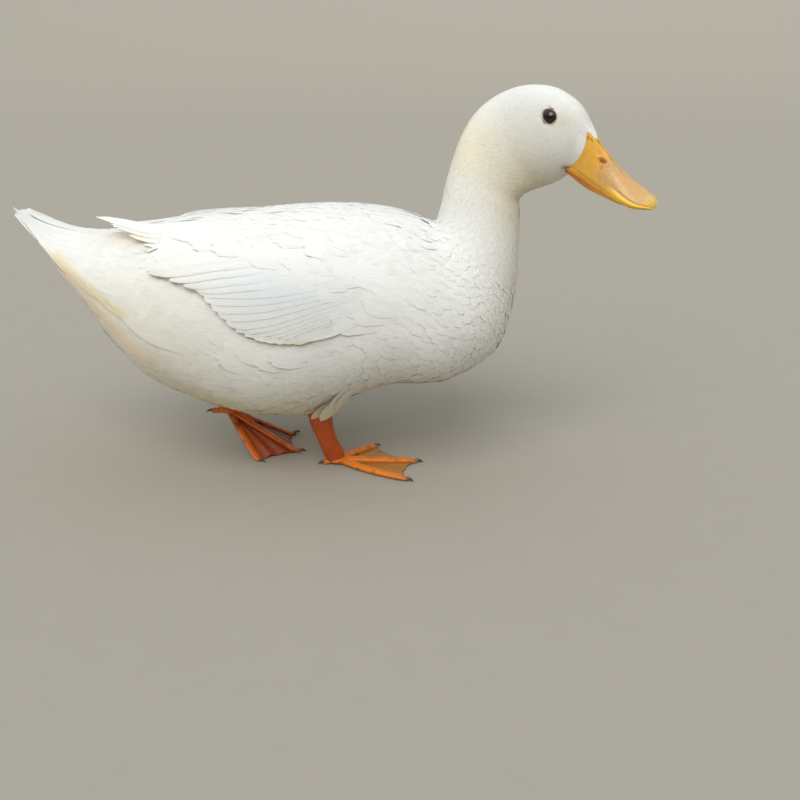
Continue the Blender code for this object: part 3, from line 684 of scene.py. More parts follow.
# small flat feathers: where they grow, spacing in mm by mm along, length and half width as multiples of it,
# and how unevenly they tilt and their tips stand in mm
smallPlumage = {
    "bodyPlumage": {
        "fromTo": (50.0, 415.0), "along": (60, 110, 160, 300, 360, 390, 420),
        "spacing": (6.5, 7.5, 8.0, 8.0, 6.8, 5.2, 4.0), "keep": offTheWing, "length": 3.4, "halfWidth": 0.9,
        "tilt": 0.1, "loose": 0.16, "looseBack": 0.25, "rings": 7, "columns": 5, "liftRoot": -1.3,
        "liftTip": 0.1, "liftPower": 0.6, "droop": 0.16, "thick": 0.2, "torn": 0.07, "roundEnd": 0.26,
        "silk": 0.76, "silkBack": 0.88, "edgeShade": 0.04, "uneven": 0.012},
    "neckPlumage": {
        "fromTo": (412.0, 503.0), "along": (400, 430, 470, 500), "spacing": (4.4, 3.8, 3.2, 2.6),
        "keep": offTheEye, "length": 3.2, "halfWidth": 0.85, "tilt": 0.05, "loose": 0.07, "looseBack": 1.0,
        "rings": 5, "columns": 3, "liftRoot": -0.8, "liftTip": 0.05, "liftPower": 0.6, "droop": 0.1,
        "thick": 0.12, "torn": 0.06, "roundEnd": 0.24, "silk": 0.82, "edgeShade": 0.04, "uneven": 0.012},
    "headPlumage": {
        "fromTo": (503.0, 560.0), "along": (500, 530, 561), "spacing": (2.5, 2.1, 1.7), "keep": offTheEye,
        "length": 3.0, "halfWidth": 0.8, "tilt": 0.03, "loose": 0.05, "looseBack": 1.0, "rings": 4,
        "columns": 3, "liftRoot": -0.5, "liftTip": 0.04, "liftPower": 0.6, "droop": 0.05, "thick": 0.08,
        "torn": 0.06, "roundEnd": 0.22, "silk": 0.78, "edgeShade": 0.05, "uneven": 0.015},
}
for name, patch in smallPlumage.items():
    roots = scattered(patch)
    paths = lyingPaths(roots, roots[:, 2] * patch["length"])
    paths = shortOfTheEye(paths) if name == "headPlumage" else paths
    calm = patch["looseBack"] + (1 - patch["looseBack"]) * ease((np.abs(roots[:, 1]) - 50) / 40)
    vanes(name, paths, patch | {
        "material": contourFeather, "halfWidth": roots[:, 2] * patch["halfWidth"],
        "tilt": dice.normal(0, patch["tilt"], len(roots)),
        "rise": np.abs(dice.normal(0, patch["loose"], len(roots))) * calm})
print("plumage made")


def bothSides(groups):
    # each group on the right, then again on the left with what "far" changes; tables and tilts are mirrored
    for side, word in ((-1, "right"), (1, "left")):
        for name, group in groups.items():
            look = group | group.get("far", {}) if side > 0 else group
            paths = np.array(look["table"], float).reshape(-1, 3, 2) * (1, side)
            vanes(f"{name}_{word}", paths, look | {"tilt": np.array(look.get("tilt", 0.0)) * side})


def secondaryTable(count):
    # k is 0 for the lowest, 1 for the uppermost: tips follow the wing's lower edge, roots lie close together
    k = np.linspace(0, 1, count)
    tipAlong = 250 - 88 * k**0.9
    tipDegrees = np.interp(tipAlong, wing["along"], wing["lower"]) + 0.4 - 1.5 * k
    tip, root = np.stack([tipAlong, tipDegrees], -1), np.stack([302 - 6 * k, 78 - 16 * k], -1)
    return np.concatenate([root, (tip + root) / 2 + np.stack([2 + 0 * k, 5.0 - 2.5 * k], -1), tip], -1)


# tables give root, middle and tip, each as mm along and degrees from the top; a later feather lies over an
# earlier one
wingFeathers = {
    "secondaries": {
        "table": secondaryTable(13), "tilt": -0.2, "rise": 0.9 * np.linspace(0, 1, 13), "onWing": True,
        "rings": 14, "columns": 7, "liftRoot": -0.9, "liftTip": 0.25, "liftPower": 0.8, "droop": 0.0,
        "thick": 0.3, "torn": 0.01, "roundEnd": 0.1, "grow": 0.3, "quill": 0.5},
    # tertials fan out into finger tips at the wing's rear
    "tertials": {
        "table": ((246, 62, 194, 62.5, 161, 68.5), (243, 58, 186, 60, 151, 66.5),
                  (240, 54, 174, 56, 139, 64), (238, 50, 164, 52.5, 128, 61.5),
                  (235, 47, 158, 50.5, 120, 60)),
        "halfWidth": (6, 6, 6, 6, 8), "tilt": (-0.8, -0.8, -0.8, -0.8, -0.2), "rise": np.linspace(0, 1, 5),
        "onWing": True, "rings": 18, "columns": 9, "liftRoot": -0.6, "liftTip": 1.1, "liftPower": 0.9,
        "thick": 0.35, "point": (0.7, 1.8, 0.7), "grow": 0.3, "quill": 0.5, "silk": 0.35, "edgeShade": 0.12},
    # one broad outer feather makes the wing's point, three more show along its lower edge; the left wing's
    # stay down
    "primaries": {
        "table": ((168, 43, 132, 40, 108, 37.5), (168, 40, 124, 34, 97, 31.5),
                  (168, 36, 117, 27, 84.5, 25.2), (168, 29, 112, 18.5, 73.0, 20.4)),
        "halfWidth": (6.0, 6.5, 7.2, 9.6), "tilt": -0.2, "rise": (-1.5, -1.1, -0.6, 0.0),
        "heights": ((70, 74, 80, 85, 90, 96, 103, 110, 120, 170),
                    (18.4, 17.8, 16.6, 14.4, 12.4, 9.4, 6.4, 4.4, 3.4, 2.0)),
        "far": {"heights": ((70, 110, 125, 170), (3.2, 2.2, 1.4, 0.2)), "tilt": -1.7},
        "rings": 26, "columns": 11, "liftRoot": 0.0, "liftTip": 0.0, "thick": 0.5, "point": (0.3, 1.7, 0.72),
        "grow": 0.2, "spine": 0.15, "quill": 0.7, "silk": 0.35, "edgeShade": 0.12},
    # soft shoulder feathers: tips in rows from the wing upwards, each a little way over the row below
    "coverts": {
        "table": [(a + 58, d - 6 * (d < 70), a + 28, d - 1.5, a, d) for a, d in (
            (268, 85), (282, 81), (291, 77), (298, 72), (300, 65), (283, 62), (266, 58), (249, 55),
            (232, 57), (214, 58), (196, 60))],
        "halfWidth": 11.5, "tilt": -0.1, "rise": (0.4, 0.4, 0.4, 0.2, 0.0, 0.0, 0.05, 0.05, 0.1, 0.1, 0.2),
        "onWing": True, "rings": 12, "columns": 9, "liftRoot": -1.6, "liftTip": 0.05, "liftPower": 0.9,
        "droop": 0.8, "thick": 0.15, "torn": 0.04, "roundEnd": 0.3, "grow": 0.5, "quill": 0.3, "silk": 0.88},
    "scapulars": {
        "table": [(a + 72, d - 9 * (d > 20), a + 36, d - 3 * (d > 20), a, d) for a, d in (
            (262, 41), (241, 45), (222, 50), (199, 49), (182, 48), (165, 42), (147, 39), (127, 31),
            (254, 27), (226, 33), (200, 34), (172, 30), (146, 24), (122, 46))],
        "halfWidth": 14.0, "tilt": -0.15,
        "rise": (0.0, 0.5, 0.1, 0.5, 0.2, 1.0, 0.3, 0.5, -0.2, -0.2, -0.2, -0.2, -0.2, 0.7),
        "onWing": True, "rings": 16, "columns": 11, "liftRoot": -1.8, "liftTip": 0.25, "liftPower": 1.6,
        "droop": 0.75, "thick": 0.25, "torn": 0.03, "roundEnd": 0.3, "grow": 0.5, "quill": 0.3},
    # soft flank feathers that lap up over the wing's lower edge
    "flankFluff": {
        "table": [(a + 60, d + 4, a + 30, d + 3, a, d) for a, d in (
            (176, 90), (188, 94), (200, 96), (212, 99), (186, 101), (224, 98))],
        "material": contourFeather, "halfWidth": 9.5, "rise": np.linspace(0.2, 0.8, 6), "rings": 12,
        "columns": 11, "liftRoot": -1.6, "liftTip": 1.1, "liftPower": 1.4, "droop": 0.8, "thick": 0.2,
        "torn": 0.05, "roundEnd": 0.3, "grow": 0.5, "quill": 0.3, "silk": 0.75},
    # long soft feathers along the side of the rump, which end in a ridge over the stained ones below
    "rumpSide": {
        "table": ((182, 104, 140, 100, 98, 90), (160, 96, 118, 93, 76, 86), (140, 90, 98, 88, 58, 82),
                  (122, 84, 82, 80, 40, 74)),
        "halfWidth": (8.5, 8.0, 7.0, 6.0), "tilt": -0.9, "rings": 14, "columns": 9, "liftRoot": -1.2,
        "liftTip": 0.9, "liftPower": 0.6, "droop": 0.0, "thick": 0.2, "point": (0.6, 1.6, 0.8), "grow": 0.6,
        "quill": 0.3, "silk": 0.5, "edgeShade": 0.12},
}
bothSides(wingFeathers)

# loose points of the back feathers that stand up from the outline
wisps = {
    "table": ((140, -9, 127, -9.5, 113, -10), (142, -5, 130, -6, 117, -7.5), (172, -2, 162, -2, 150, -1.5),
              (178, -5, 168, -4, 157, -2), (188, 2, 176, 0, 163, -0.5), (216, -8, 206, -9, 195, -10)),
    "material": contourFeather, "halfWidth": (1.9, 1.5, 1.7, 1.9, 1.6, 1.6), "rings": 8, "columns": 3,
    "liftRoot": 0.2, "liftTip": 4.4, "liftPower": 1.3, "droop": 0.1, "thick": 0.25, "point": (0.2, 1.3, 1.0),
    "silk": 0.6, "onFlank": False,
}
vanes("backWisps", np.array(wisps["table"], float).reshape(-1, 3, 2), wisps)

# the tail's feathers by their places round it and by their tips; the longest is the last and lies on top
tailDegrees = np.array((80, 74, 66, 56, 45, 31, 14), float)
tailTips = np.array(((34, 76), (26, 67), (18, 55), (9, 40), (4.5, 27), (2.5, 19), (0.6, 10)), float)


def tailTable(shift):
    # roots and middles in arcs 98 and 50 mm along, tips moved by shift
    roots = np.stack([np.full(7, 98.0), tailDegrees * 0.86, np.full(7, 50.0), tailDegrees * 0.96], -1)
    return np.concatenate([roots, tailTips + shift], -1)


tailGroups = {
    "tailFeathers": {
        "table": tailTable((0, 0)), "halfWidth": 8.0, "tilt": -0.15, "rise": np.linspace(0, 0.25, 7),
        "drawn": (0, 0, 0.1, 0.5, 0.85, 1.0, 1.0), "drawTo": (-304.8, -4.0, 215.4),
        "far": {"table": tailTable((9.0, -4.0)), "drawn": 0.0,
                "rise": np.linspace(0, 0.25, 7) + 1.6 * np.linspace(0, 1, 7) ** 4},
        "rings": 18, "columns": 9, "liftRoot": -0.8, "liftTip": 0.3, "liftPower": 0.7, "droop": 0.25,
        "thick": 0.4, "point": (0.5, 2.0, 0.7), "grow": 0.25, "quill": 0.6, "silk": 0.7, "edgeShade": 0.06},
    "undertail": {
        "table": ((128, 152, 88, 146, 46, 142), (124, 134, 82, 126, 38, 116), (132, 118, 92, 112, 48, 104),
                  (104, 102, 74, 96, 37, 80)),
        "halfWidth": (9.0, 8.5, 8.0, 4.5), "tilt": -0.4, "rise": (0, 0, 0, 0.6), "rings": 16, "columns": 7,
        "liftRoot": -1.2, "liftTip": 1.6, "liftPower": 1.4, "thick": 0.3, "point": (0.4, 1.6, 0.9),
        "silk": 0.5, "edgeShade": 0.12},
}
bothSides(tailGroups)


def thighTable(at):
    # soft feathers that hang over the top of the leg, which stands at that many mm along
    return ((at + 34, 136, at + 21, 141, at + 10, 145), (at + 30, 134, at + 16, 139, at + 6, 143),
            (at + 24, 146, at + 8, 149.5, at - 8, 151), (at + 36, 140, at + 17, 145, at - 2, 150))


bothSides({"thigh": {
    "table": thighTable(264), "far": {"table": thighTable(216)}, "material": contourFeather,
    "halfWidth": (6.4, 6.0, 9.5, 11.5), "rise": (3.0, 3.0, 2.2, 6.0), "rings": 12, "columns": 7,
    "liftRoot": -1.6, "liftTip": 4.6, "liftPower": 1.8, "droop": 0.6, "thick": 0.3, "point": (0.6, 2.6, 0.5),
    "grow": 0.5, "silk": 0.88}})
print("flight feathers made")

# bill in the head's frame: station x, ridge z, cutting edge z, half width, squareness of the roof
bill = {
    "stations": ((-3.0, 1.0, -26.6, 11.7, 2.0), (4.0, -2.2, -28.0, 11.5, 2.0),
                 (12.0, -5.4, -28.9, 11.3, 2.05), (24.0, -10.2, -28.2, 11.7, 2.15),
                 (34.0, -13.6, -26.8, 12.8, 2.3), (44.0, -16.0, -25.3, 13.4, 2.45),
                 (52.0, -17.0, -23.5, 12.0, 2.4), (57.0, -17.6, -22.0, 8.8, 2.25),
                 (60.0, -18.6, -21.5, 5.8, 2.1), (61.6, -19.4, -21.2, 3.2, 2.0),
                 (62.2, -20.0, -20.9, 1.2, 2.0)),
    "start": -1.0, "length": 63.1, "rings": 150, "sides": 121,
    # where its edge lies on the face: degrees from the top, mm along the body; the left horn is lower
    "margin": ((0, 560.7), (7, 559.6), (16, 557.2), (22, 556.4), (28, 557.2), (40, 558.5), (60, 559.7),
               (85, 560.2), (98, 560.0), (106, 558.6), (112, 555.6), (119, 552.0), (122, 551.4)),
    "leftHorn": 2.4, "gape": 119.0, "proud": 0.45,
    # how far the small feathers of the face lap over it: degrees from the top, mm; more on the left
    "lap": ((0, 5.2), (5, 4.4), (10, 2.4), (16, 0.7), (21, 0), (32, 0), (42, 0.8), (54, 2.6), (68, 3.7),
            (82, 3.5), (94, 2.0), (104, 0.6), (112, 0), (119, 0)),
    "leftLap": 2.6,
    # towards the tip a rolled rim with a crease inside it: mm along where they start, over how many mm they
    # rise, then share of the way to the edge, reach and height in mm; the nail: mm along, reaches, height
    "forward": (22, 16), "rim": (0.85, 0.11, 1.2), "crease": (0.69, 0.035, -0.5),
    "nail": (57.5, 3.6, 4.6, 0.5),
    # the lower bill: x, depth
    "mandible": ((-12.0, 6.4), (-6.4, 7.4), (4.0, 7.2), (14.0, 6.4), (30.0, 4.4), (46.0, 2.6), (55.0, 1.5)),
    # the nostril: mm along, mm down the side, half its length and height
    "nostril": (12.6, 6.9, 3.3, 1.55), "nostrilTurn": 28.0, "nostrilDeep": 1.3,
    # small marks: mm along, share of the way to the edge, reach in mm along and across, colour, strength
    "marks": ((1.6, 0.24, 0.7, 0.7, "speck", 0.9), (3.8, 0.2, 0.6, 0.5, "speck", 0.8),
              (5.0, 0.03, 0.7, 0.5, "speck", 0.8), (14.6, 0.5, 0.5, 0.9, "speck", 0.7),
              (7.8, 0.22, 1.6, 1.2, "groove", 0.7), (10.6, 0.27, 2.2, 1.4, "groove", 0.6),
              (16.5, 0.04, 0.9, 0.6, "speck", 0.7), (2.0, 0.62, 1.0, 2.0, "groove", 0.3)),
    "specks": 34,
}
# the horn's colours; edge is a darker orange, and along the cutting edge it is painted shade of the bill's
# underside
billColours = {
    "base": "#eab043", "middle": "#d2a76e", "rim": "#f8c236", "nail": "#d6c06a", "edge": "#dd8f2a",
    "groove": "#d87f2c", "corner": "#3a2413", "speck": "#5c3d1e", "nostril": "#8a3c1a", "ridge": "#a27f3e",
    "crease": "#a9752a", "under": "#d9822a", "underTip": "#eab24a",
}


def billSection(x, turn):
    # turn is 0 on the ridge and +-90 degrees at the cutting edge: y = width sin^(2/q), and z goes from the
    # edge up to the ridge by cos^(2/q); the first sections lean back
    table = np.array(bill["stations"])
    ridge, edge, width, square = np.moveaxis(smoothTable(table[:, 0], table[:, 1:], x), -1, 0)
    a = np.radians(turn)
    y = np.sign(a) * np.abs(np.sin(a)) ** (2 / square) * width
    z = edge + np.abs(np.cos(a)) ** (2 / square) * (ridge - edge)
    lean = 0.12 * np.clip(1 - (x + 3.0) / 14.0, 0, 1)
    return np.stack([x + lean * (z - ridge), y, z], -1)


def outOfBill(turn, ahead):
    # the way out of the bill's inside: sideways by sin, up by |cos|, and a share ahead
    a = np.radians(turn)
    return np.stack([ahead + 0 * a, np.sin(a), np.abs(np.cos(a))], -1)


def billRootPlumage(shape, turn, face, where):
    # short feathers from the face over the horn's base: a shell that starts under the face's feathers behind
    # the margin, follows the horn's rings for the lap and sinks in; shape's rings stand at 1 - (1 - t)^1.5
    lap = np.interp(np.abs(face), *np.array(bill["lap"]).T) + bill["leftLap"] * bell(face, 15, 6)
    shown = ease(lap / 0.8)
    lap = np.maximum(lap + np.random.default_rng(11).uniform(-0.3, 0.3, bill["sides"]) * shown, 0.05)
    u = np.linspace(0, 1, 10)[:, None]
    index = (1 - (1 - lap * u / bill["length"]) ** (2 / 3)) * (bill["rings"] - 1)
    low, column = np.floor(index).astype(int), np.arange(bill["sides"])[None]
    part = (index - low)[..., None]
    onHorn = shape[low, column] * (1 - part) + shape[low + 1, column] * part
    out = outOfBill(turn, 0.25)
    onHorn = onHorn + out * (0.34 * (1 - u**3) * shown - 0.4 * (1 - shown) - 0.12 * u)[..., None]
    back, raised = np.array((-7.0, -4.0, -1.5))[:, None], np.array((-0.25, 0.12, 0.5))[:, None]
    point, normal, _, _ = surface(where + back, face + 0 * back)
    onSkin = toHead(point + normal * (raised * shown - 0.6 * (1 - shown))[..., None])
    outer = np.concatenate([onSkin, onHorn])
    points, faces = closedShell(fromHead(outer), fromHead(outer - out * 0.5))
    every = np.zeros(outer.shape[:2])
    vane = np.stack([face * 0.3 + every, outer[..., 0]], -1)
    bake = bakeSpot(where + every, face + every)
    bake[..., 0] += 0.0003 * np.arange(len(outer))[:, None]
    maps = {"OFBake": bake, "vane": vane}
    maps = {key: np.concatenate([grid.reshape(-1, 2)] * 2) for key, grid in maps.items()}
    # shaded as the face it grows from
    lean = unit(surface(where, face)[1] + 0 * outer).reshape(-1, 3)
    meshPiece("billRootPlumage", points, faces, contourFeather, (), maps, plumageColour(points),
              np.concatenate([lean, -lean])[faces].reshape(-1, 3))


def nostrilReach(shape, x):
    # 1 on an oval turned towards the ridge, less inside it
    nose, off, long, tall = bill["nostril"]
    pace = np.linalg.norm(np.diff(shape, axis=1), axis=-1)
    down = np.concatenate([np.zeros((len(x), 1)), np.cumsum(pace, 1)], 1)
    down = np.abs(down - down[:, bill["sides"] // 2][:, None])
    lean = math.radians(bill["nostrilTurn"])
    ahead, below = x - nose, down - off
    return (((ahead * math.cos(lean) - below * math.sin(lean)) / long) ** 2
            + ((ahead * math.sin(lean) + below * math.cos(lean)) / tall) ** 2)


def hornColour(x, y, turn, forward, reach):
    # layers of colour and strength, each painted over the ones before; flat is 0 on the ridge and 1 at the
    # edge
    flat, across = np.abs(turn) / 90, 25  # mm from ridge to edge
    layers = [
        ("middle", ease((x - 8) / 12) * (1 - ease((x - 52) / 8)) * (1 - ease((flat - 0.7) / 0.2)) * 0.9),
        ("nail", bell(x, 58, 6) * bell(y, 0, 7) * 0.8),
        ("rim", forward * ease((flat - 0.7) / 0.05)),
        ("crease", forward * bell(flat, 0.69, 0.012) * 0.6),
        # the edge layers darken the side towards the cutting edge, where it turns under: painted shade
        ("edge", (1 - forward) * ease((flat - 0.9) / 0.06)),
        ("crease", (1 - forward) * bell(flat, 0.89, 0.014) * 0.8),
        ("edge", ease((flat - 0.975) / 0.02) * 0.7),
        ("ridge", bell(y, 0, 0.7) * (1 - ease((x - 25) / 12)) * 0.7),
        ("groove", bell(reach, 0, 2.2) * 0.5),
        ("nostril", bell(reach, 0, 0.8)),
        ("edge", bell(x, bill["start"], 0.9) * 0.8),
        ("corner", ease((3.4 - x) / 4.0) * ease((flat - 0.87) / 0.06) * 0.9)]
    for cx, cf, rx, rf, code, much in bill["marks"]:
        layers.append((code, much * bell(x, cx, rx) * bell(flat, cf, rf / across)))
    spots = np.random.default_rng(5)
    for _ in range(bill["specks"]):  # most along the crease, some over the middle
        cx, cf, r = spots.uniform(38, 59), spots.normal(0.69, 0.02), spots.uniform(0.2, 0.55)
        if spots.random() < 0.4:
            cx, cf, r = spots.uniform(20, 58), spots.uniform(0.0, 0.65), r * 0.7
        near = bell(x, cx, r * spots.uniform(1, 2.2)) * bell(flat, cf, r / across)
        layers.append(("speck", 0.75 * near * (np.sign(turn) == spots.choice((-1, 1)))))
    colour = linear(billColours["base"])
    for code, share in layers:
        colour = mixed(colour, billColours[code], share[..., None])
    return colour


def upperBill():
    # sections along the bill, blended over the first 10 mm into the horn's margin on the face
    across = np.linspace(-90, 90, bill["sides"])
    turn = across[None] + np.zeros((bill["rings"], 1))
    t = np.linspace(0, 1, bill["rings"])[:, None]
    x = bill["start"] + bill["length"] * (1 - (1 - t) ** 1.5) + np.zeros_like(turn)
    face = across / 90 * bill["gape"]
    where = np.interp(np.abs(face), *np.array(bill["margin"]).T)
    where = where + bill["leftHorn"] * (face > 0) * bell(face, 22, 8)
    point, normal, _, _ = surface(where, face)
    blend = ease((x - bill["start"]) / 10.0)[..., None]
    shape = toHead(point + normal * bill["proud"])[None] * (1 - blend) + billSection(x, turn) * blend
    flat, reach = np.abs(turn) / 90, nostrilReach(shape, x)
    forward = ease((x - bill["forward"][0]) / bill["forward"][1])
    rim = sum(high * bell(flat, at, wide) for at, wide, high in (bill["rim"], bill["crease"]))
    at, long, wide, high = bill["nail"]
    nail = bell(x, at, long, 4) * bell(shape[..., 1], 0, wide, 4) * high
    # the nostril sinks in, with a low wall round it
    hole = -bill["nostrilDeep"] * bell(reach, 0, 1) + 0.3 * bell(np.sqrt(reach), 1.5, 0.35)
    shape = shape + outOfBill(turn, 0.0) * (forward * rim + nail + hole)[..., None]
    billRootPlumage(shape, across, face, where)
    under = shape * (1, 0.93, 1)
    lip = shape[:, [0, -1], 2].mean(1)[:, None]
    under[..., 2] = np.minimum(shape[..., 2] - 0.8, lip + 0.6)
    points, faces = closedShell(fromHead(shape), fromHead(under))
    colour = hornColour(x, shape[..., 1], turn, forward, reach).reshape(-1, 3)
    colours = np.concatenate([colour] * 2)
    meshPiece("upperBill", points, faces, billHorn, ("bill_upper",), None, colours)


def lowerBill():
    # a shallow tray under the cutting edge, its depth and width read along the bill
    table, stations = np.array(bill["mandible"]), np.array(bill["stations"])
    x = np.linspace(table[0, 0], table[-1, 0], 60)
    edge, width = np.interp(x, stations[:, 0], stations[:, 2]), np.interp(x, stations[:, 0], stations[:, 3])
    deep = smoothTable(table[:, 0], table[:, 1:], x)[:, 0]
    width = width * 0.95 * np.interp(x, (40.0, x[-1]), (1.0, 0.5))
    a, flat = np.linspace(0, np.pi, 33), np.linspace(-1, 1, 9)[1:-1]
    y = np.concatenate([np.cos(a), flat])[None] * width[:, None]
    z = edge[:, None] - 0.3 - np.concatenate([np.sin(a) ** 0.6, 0 * flat])[None] * deep[:, None]
    points, faces = closedLoft(fromHead(np.stack([np.repeat(x[:, None], y.shape[1], 1), y, z], -1)))
    x = toHead(points)[:, :1]
    colour = mixed(linear(billColours["under"]), billColours["underTip"], ease((x - 5) / 30))
    colour = mixed(colour, billColours["corner"], ease((-6.0 - x) / 4.0))
    meshPiece("lowerBill", points, faces, billHorn, ("bill_lower",), None, colour)


def hornMaterial(name, roughness, scaleSize=0.0):
    # living skin over horn: satin, faintly mottled, slightly translucent; with small scales of that many mm
    material, tree, shader = newMaterial(name, {
        "Roughness": roughness, "IOR": 1.5, "Coat Weight": 0.15, "Coat Roughness": 0.3,
        "Subsurface Weight": 0.1, "Subsurface Radius": (1.0, 0.5, 0.2), "Subsurface Scale": 0.0015})
    stainAndShade = addNode(tree, "ShaderNodeAttribute", {"attribute_name": "stainAndShade"})
    place = addNode(tree, "ShaderNodeTexCoord")
    noise = {"Vector": place.outputs["Object"], "Scale": 260.0, "Detail": 4.0, "Roughness": 0.65}
    shades = {"From Min": 0.3, "From Max": 0.7, "To Min": 0.88, "To Max": 1.06}
    bumped = mottled(tree, shader, stainAndShade.outputs["Color"], noise, shades, 0.25)
    if scaleSize:
        scales = addNode(tree, "ShaderNodeTexVoronoi", {"feature": "DISTANCE_TO_EDGE"}, {
            "Vector": place.outputs["Object"], "Scale": 1000.0 / scaleSize})
        joints = addNode(tree, "ShaderNodeMapRange", None, {
            "Value": scales.outputs["Distance"], "From Max": 0.12})
        bump = addNode(tree, "ShaderNodeBump", None, {
            "Height": joints.outputs["Result"], "Normal": bumped, "Strength": 0.35, "Distance": 0.0003})
        tree.links.new(bump.outputs["Normal"], shader.inputs["Normal"])
    return material


billHorn = hornMaterial("billHorn", 0.42)
upperBill()
lowerBill()
print("bill made")


def lidRim(side):
    # an oval on the head round the eye: its points, their normals, and the angles round it
    _, _, paceAlong, paceAround = eyePoint(side)
    a = ringAngles(72)[0, :, 0]
    ahead = (1 + eye["corner"] * np.cos(a) ** 8) * np.cos(a)
    along = eye["spot"][0] + eye["lidReach"][0] * ahead / paceAlong
    degrees = eye["spot"][1] * side + eye["lidReach"][1] * np.sin(a) / paceAround
    rim, normal, _, _ = surface(along, degrees)
    return rim, normal, a


def eyeCentre(side):
    # the ball's centre and the way the eye looks
    rim = lidRim(side)[0]
    normal = unit(np.cross(rim - np.roll(rim, 5, 0), np.roll(rim, -5, 0) - rim).sum(0))
    normal = normal * np.sign(normal[1] * side)
    return rim.mean(0) - normal * eye["deep"], normal


def eyeball(side, word):
    # sphere whose rings run from the front pole back; the pupil's bulge adds a shallow dome
    centre, normal = eyeCentre(side)
    ahead = unit(np.cross(upwards, normal))
    up = np.cross(normal, ahead)
    a, b = np.linspace(0.0, np.pi, 30)[1:-1, None, None], ringAngles(48)
    r = eye["radius"] * (1 + 0.02 * bell(a, 0, 0.5))
    rings = centre + r * (normal * np.cos(a) + ahead * np.sin(a) * np.cos(b) + up * np.sin(a) * np.sin(b))
    points, faces = closedLoft(rings)
    off = np.linalg.norm(np.cross(points - centre, normal), axis=1, keepdims=True)
    colour = linear(eye["iris"]) * (1 - ease((eye["pupil"] + 0.6 - off) / 1.2)) + 0.001
    meshPiece("eye_ball_" + word, points, faces, eyeGloss, ("eye_" + word,), None, colour)


def lid(side, word):
    # a rim of bare skin half way between the head's surface and the ball: an oval carrying a small tube
    centre, ball, b = eyePoint(side)[0], eyeCentre(side)[0], ringAngles(12)
    spot, normal, a = lidRim(side)
    spot = ((spot + ball + unit(spot - ball) * (eye["radius"] + 0.1)) / 2)[:, None]
    normal, out = normal[:, None], unit(spot - centre)
    tube = eye["lidTube"] * (1 + 0.05 * np.sin(9 * a + 1.0) * np.sin(4 * a))[:, None, None]
    rings = spot + normal * eye["lidLift"] + tube * (out * np.cos(b) + normal * np.sin(b) * 0.8)
    points = rings.reshape(-1, 3)
    faces = facingOut(points - points.mean(0), gridFaces(len(a) + 1, 12, True) % len(points))
    # pinkish below, grey brown above where the brow feathers shade it: painted shade
    high = ease((points[:, 2:] - centre[2] + 2) / 5)
    colour = mixed(linear(eye["lidLow"]), eye["lidShadedTop"], high)
    meshPiece("eyelid_" + word, points, faces, lidSkin, (), None, colour)


lidSkin = hornMaterial("lidSkin", 0.55)
# a clear wet cornea over a dark iris: a sharp highlight
eyeGloss, tree, shader = newMaterial("wetEye", {
    "Roughness": 0.08, "IOR": 1.38, "Coat Weight": 0.5, "Coat Roughness": 0.02})
stainAndShade = addNode(tree, "ShaderNodeAttribute", {"attribute_name": "stainAndShade"})
tree.links.new(stainAndShade.outputs["Color"], shader.inputs["Base Color"])
for side, word in ((-1, "right"), (1, "left")):
    eyeball(side, word)
    lid(side, word)
print("eyes made")

# legs: path x y z, then half thickness fore-and-aft and across; joint: middle of the foot at the sole's
# level; toes: heading in degrees, length and sideways bend in mm; fold: how deep the web puckers in mm
# the toe, web and shank colours are darkened towards the shade the legs stand in, partly painted shade; the
# far left leg's colours are darker and its dirt strength higher, as painted shade
legs = {
    "right": {
        "path": ((-68.0, -37.5, 78.0, 11.4, 9.4), (-67.0, -36.0, 66.0, 11.0, 9.0),
                 (-66.0, -34.5, 54.0, 10.4, 8.4), (-65.0, -32.5, 43.0, 9.3, 7.2),
                 (-62.5, -29.0, 31.0, 8.1, 6.2), (-59.5, -25.0, 19.5, 8.0, 6.2),
                 (-56.6, -21.5, 11.0, 8.5, 6.6), (-55.0, -20.0, 5.2, 7.8, 6.2)),
        "joint": (-53.5, -18.8, 0.0), "toes": ((-31.0, 70.0, -3.0), (-1.4, 68.0, 0.0), (42.3, 44.0, 1.0)),
        "hind": (198.0, 12.0, 0.0), "order": ("outer", "middle", "inner"), "fold": 0.5,
        "toe": "#de7a10", "web": "#b27726", "shank": "#bb4d07", "dirtAndShade": 0.5},
    "left": {
        "path": ((-112.0, 30.5, 92.0, 10.8, 9.4), (-116.0, 28.0, 82.0, 10.0, 9.0),
                 (-122.0, 24.0, 70.0, 8.6, 7.2), (-130.0, 17.5, 59.5, 7.4, 6.0),
                 (-138.0, 11.0, 51.0, 7.0, 5.8), (-142.6, 7.2, 46.6, 6.8, 5.6),
                 (-146.5, 4.6, 41.0, 6.6, 5.6)),
        "joint": (-147.5, 4.0, 36.5), "toes": ((-38.0, 35.0, -1.0), (-2.5, 60.0, 0.0), (34.5, 63.0, 1.0)),
        "hind": (182.0, 15.0, 0.0), "order": ("inner", "middle", "outer"), "fold": 2.4,
        "toe": "#d8660c", "web": "#9c400c", "shank": "#c85e0c", "dirtAndShade": 0.85},
}
dirtAndShadeColour, clawRoot, clawPoint = "#33190c", "#8a6440", "#2b1f18"
# both feet, in mm: half width and height of a toe with what they lose by its tip, where its joints are and
# by what share they swell; reaches and middle height of the palm; length and half thickness of a claw, its
# height and how far inside the toe it starts
foot = {
    "toeHalf": (3.8, 0.8), "toeTall": (6.0, 1.6), "knuckles": (0.3, 0.6, 0.85), "swell": 0.1,
    "palm": (8.6, 8.2, 4.1), "palmHigh": 4.15, "claw": (6.6, 1.7), "clawHigh": 2.6, "clawStart": 1.2,
}


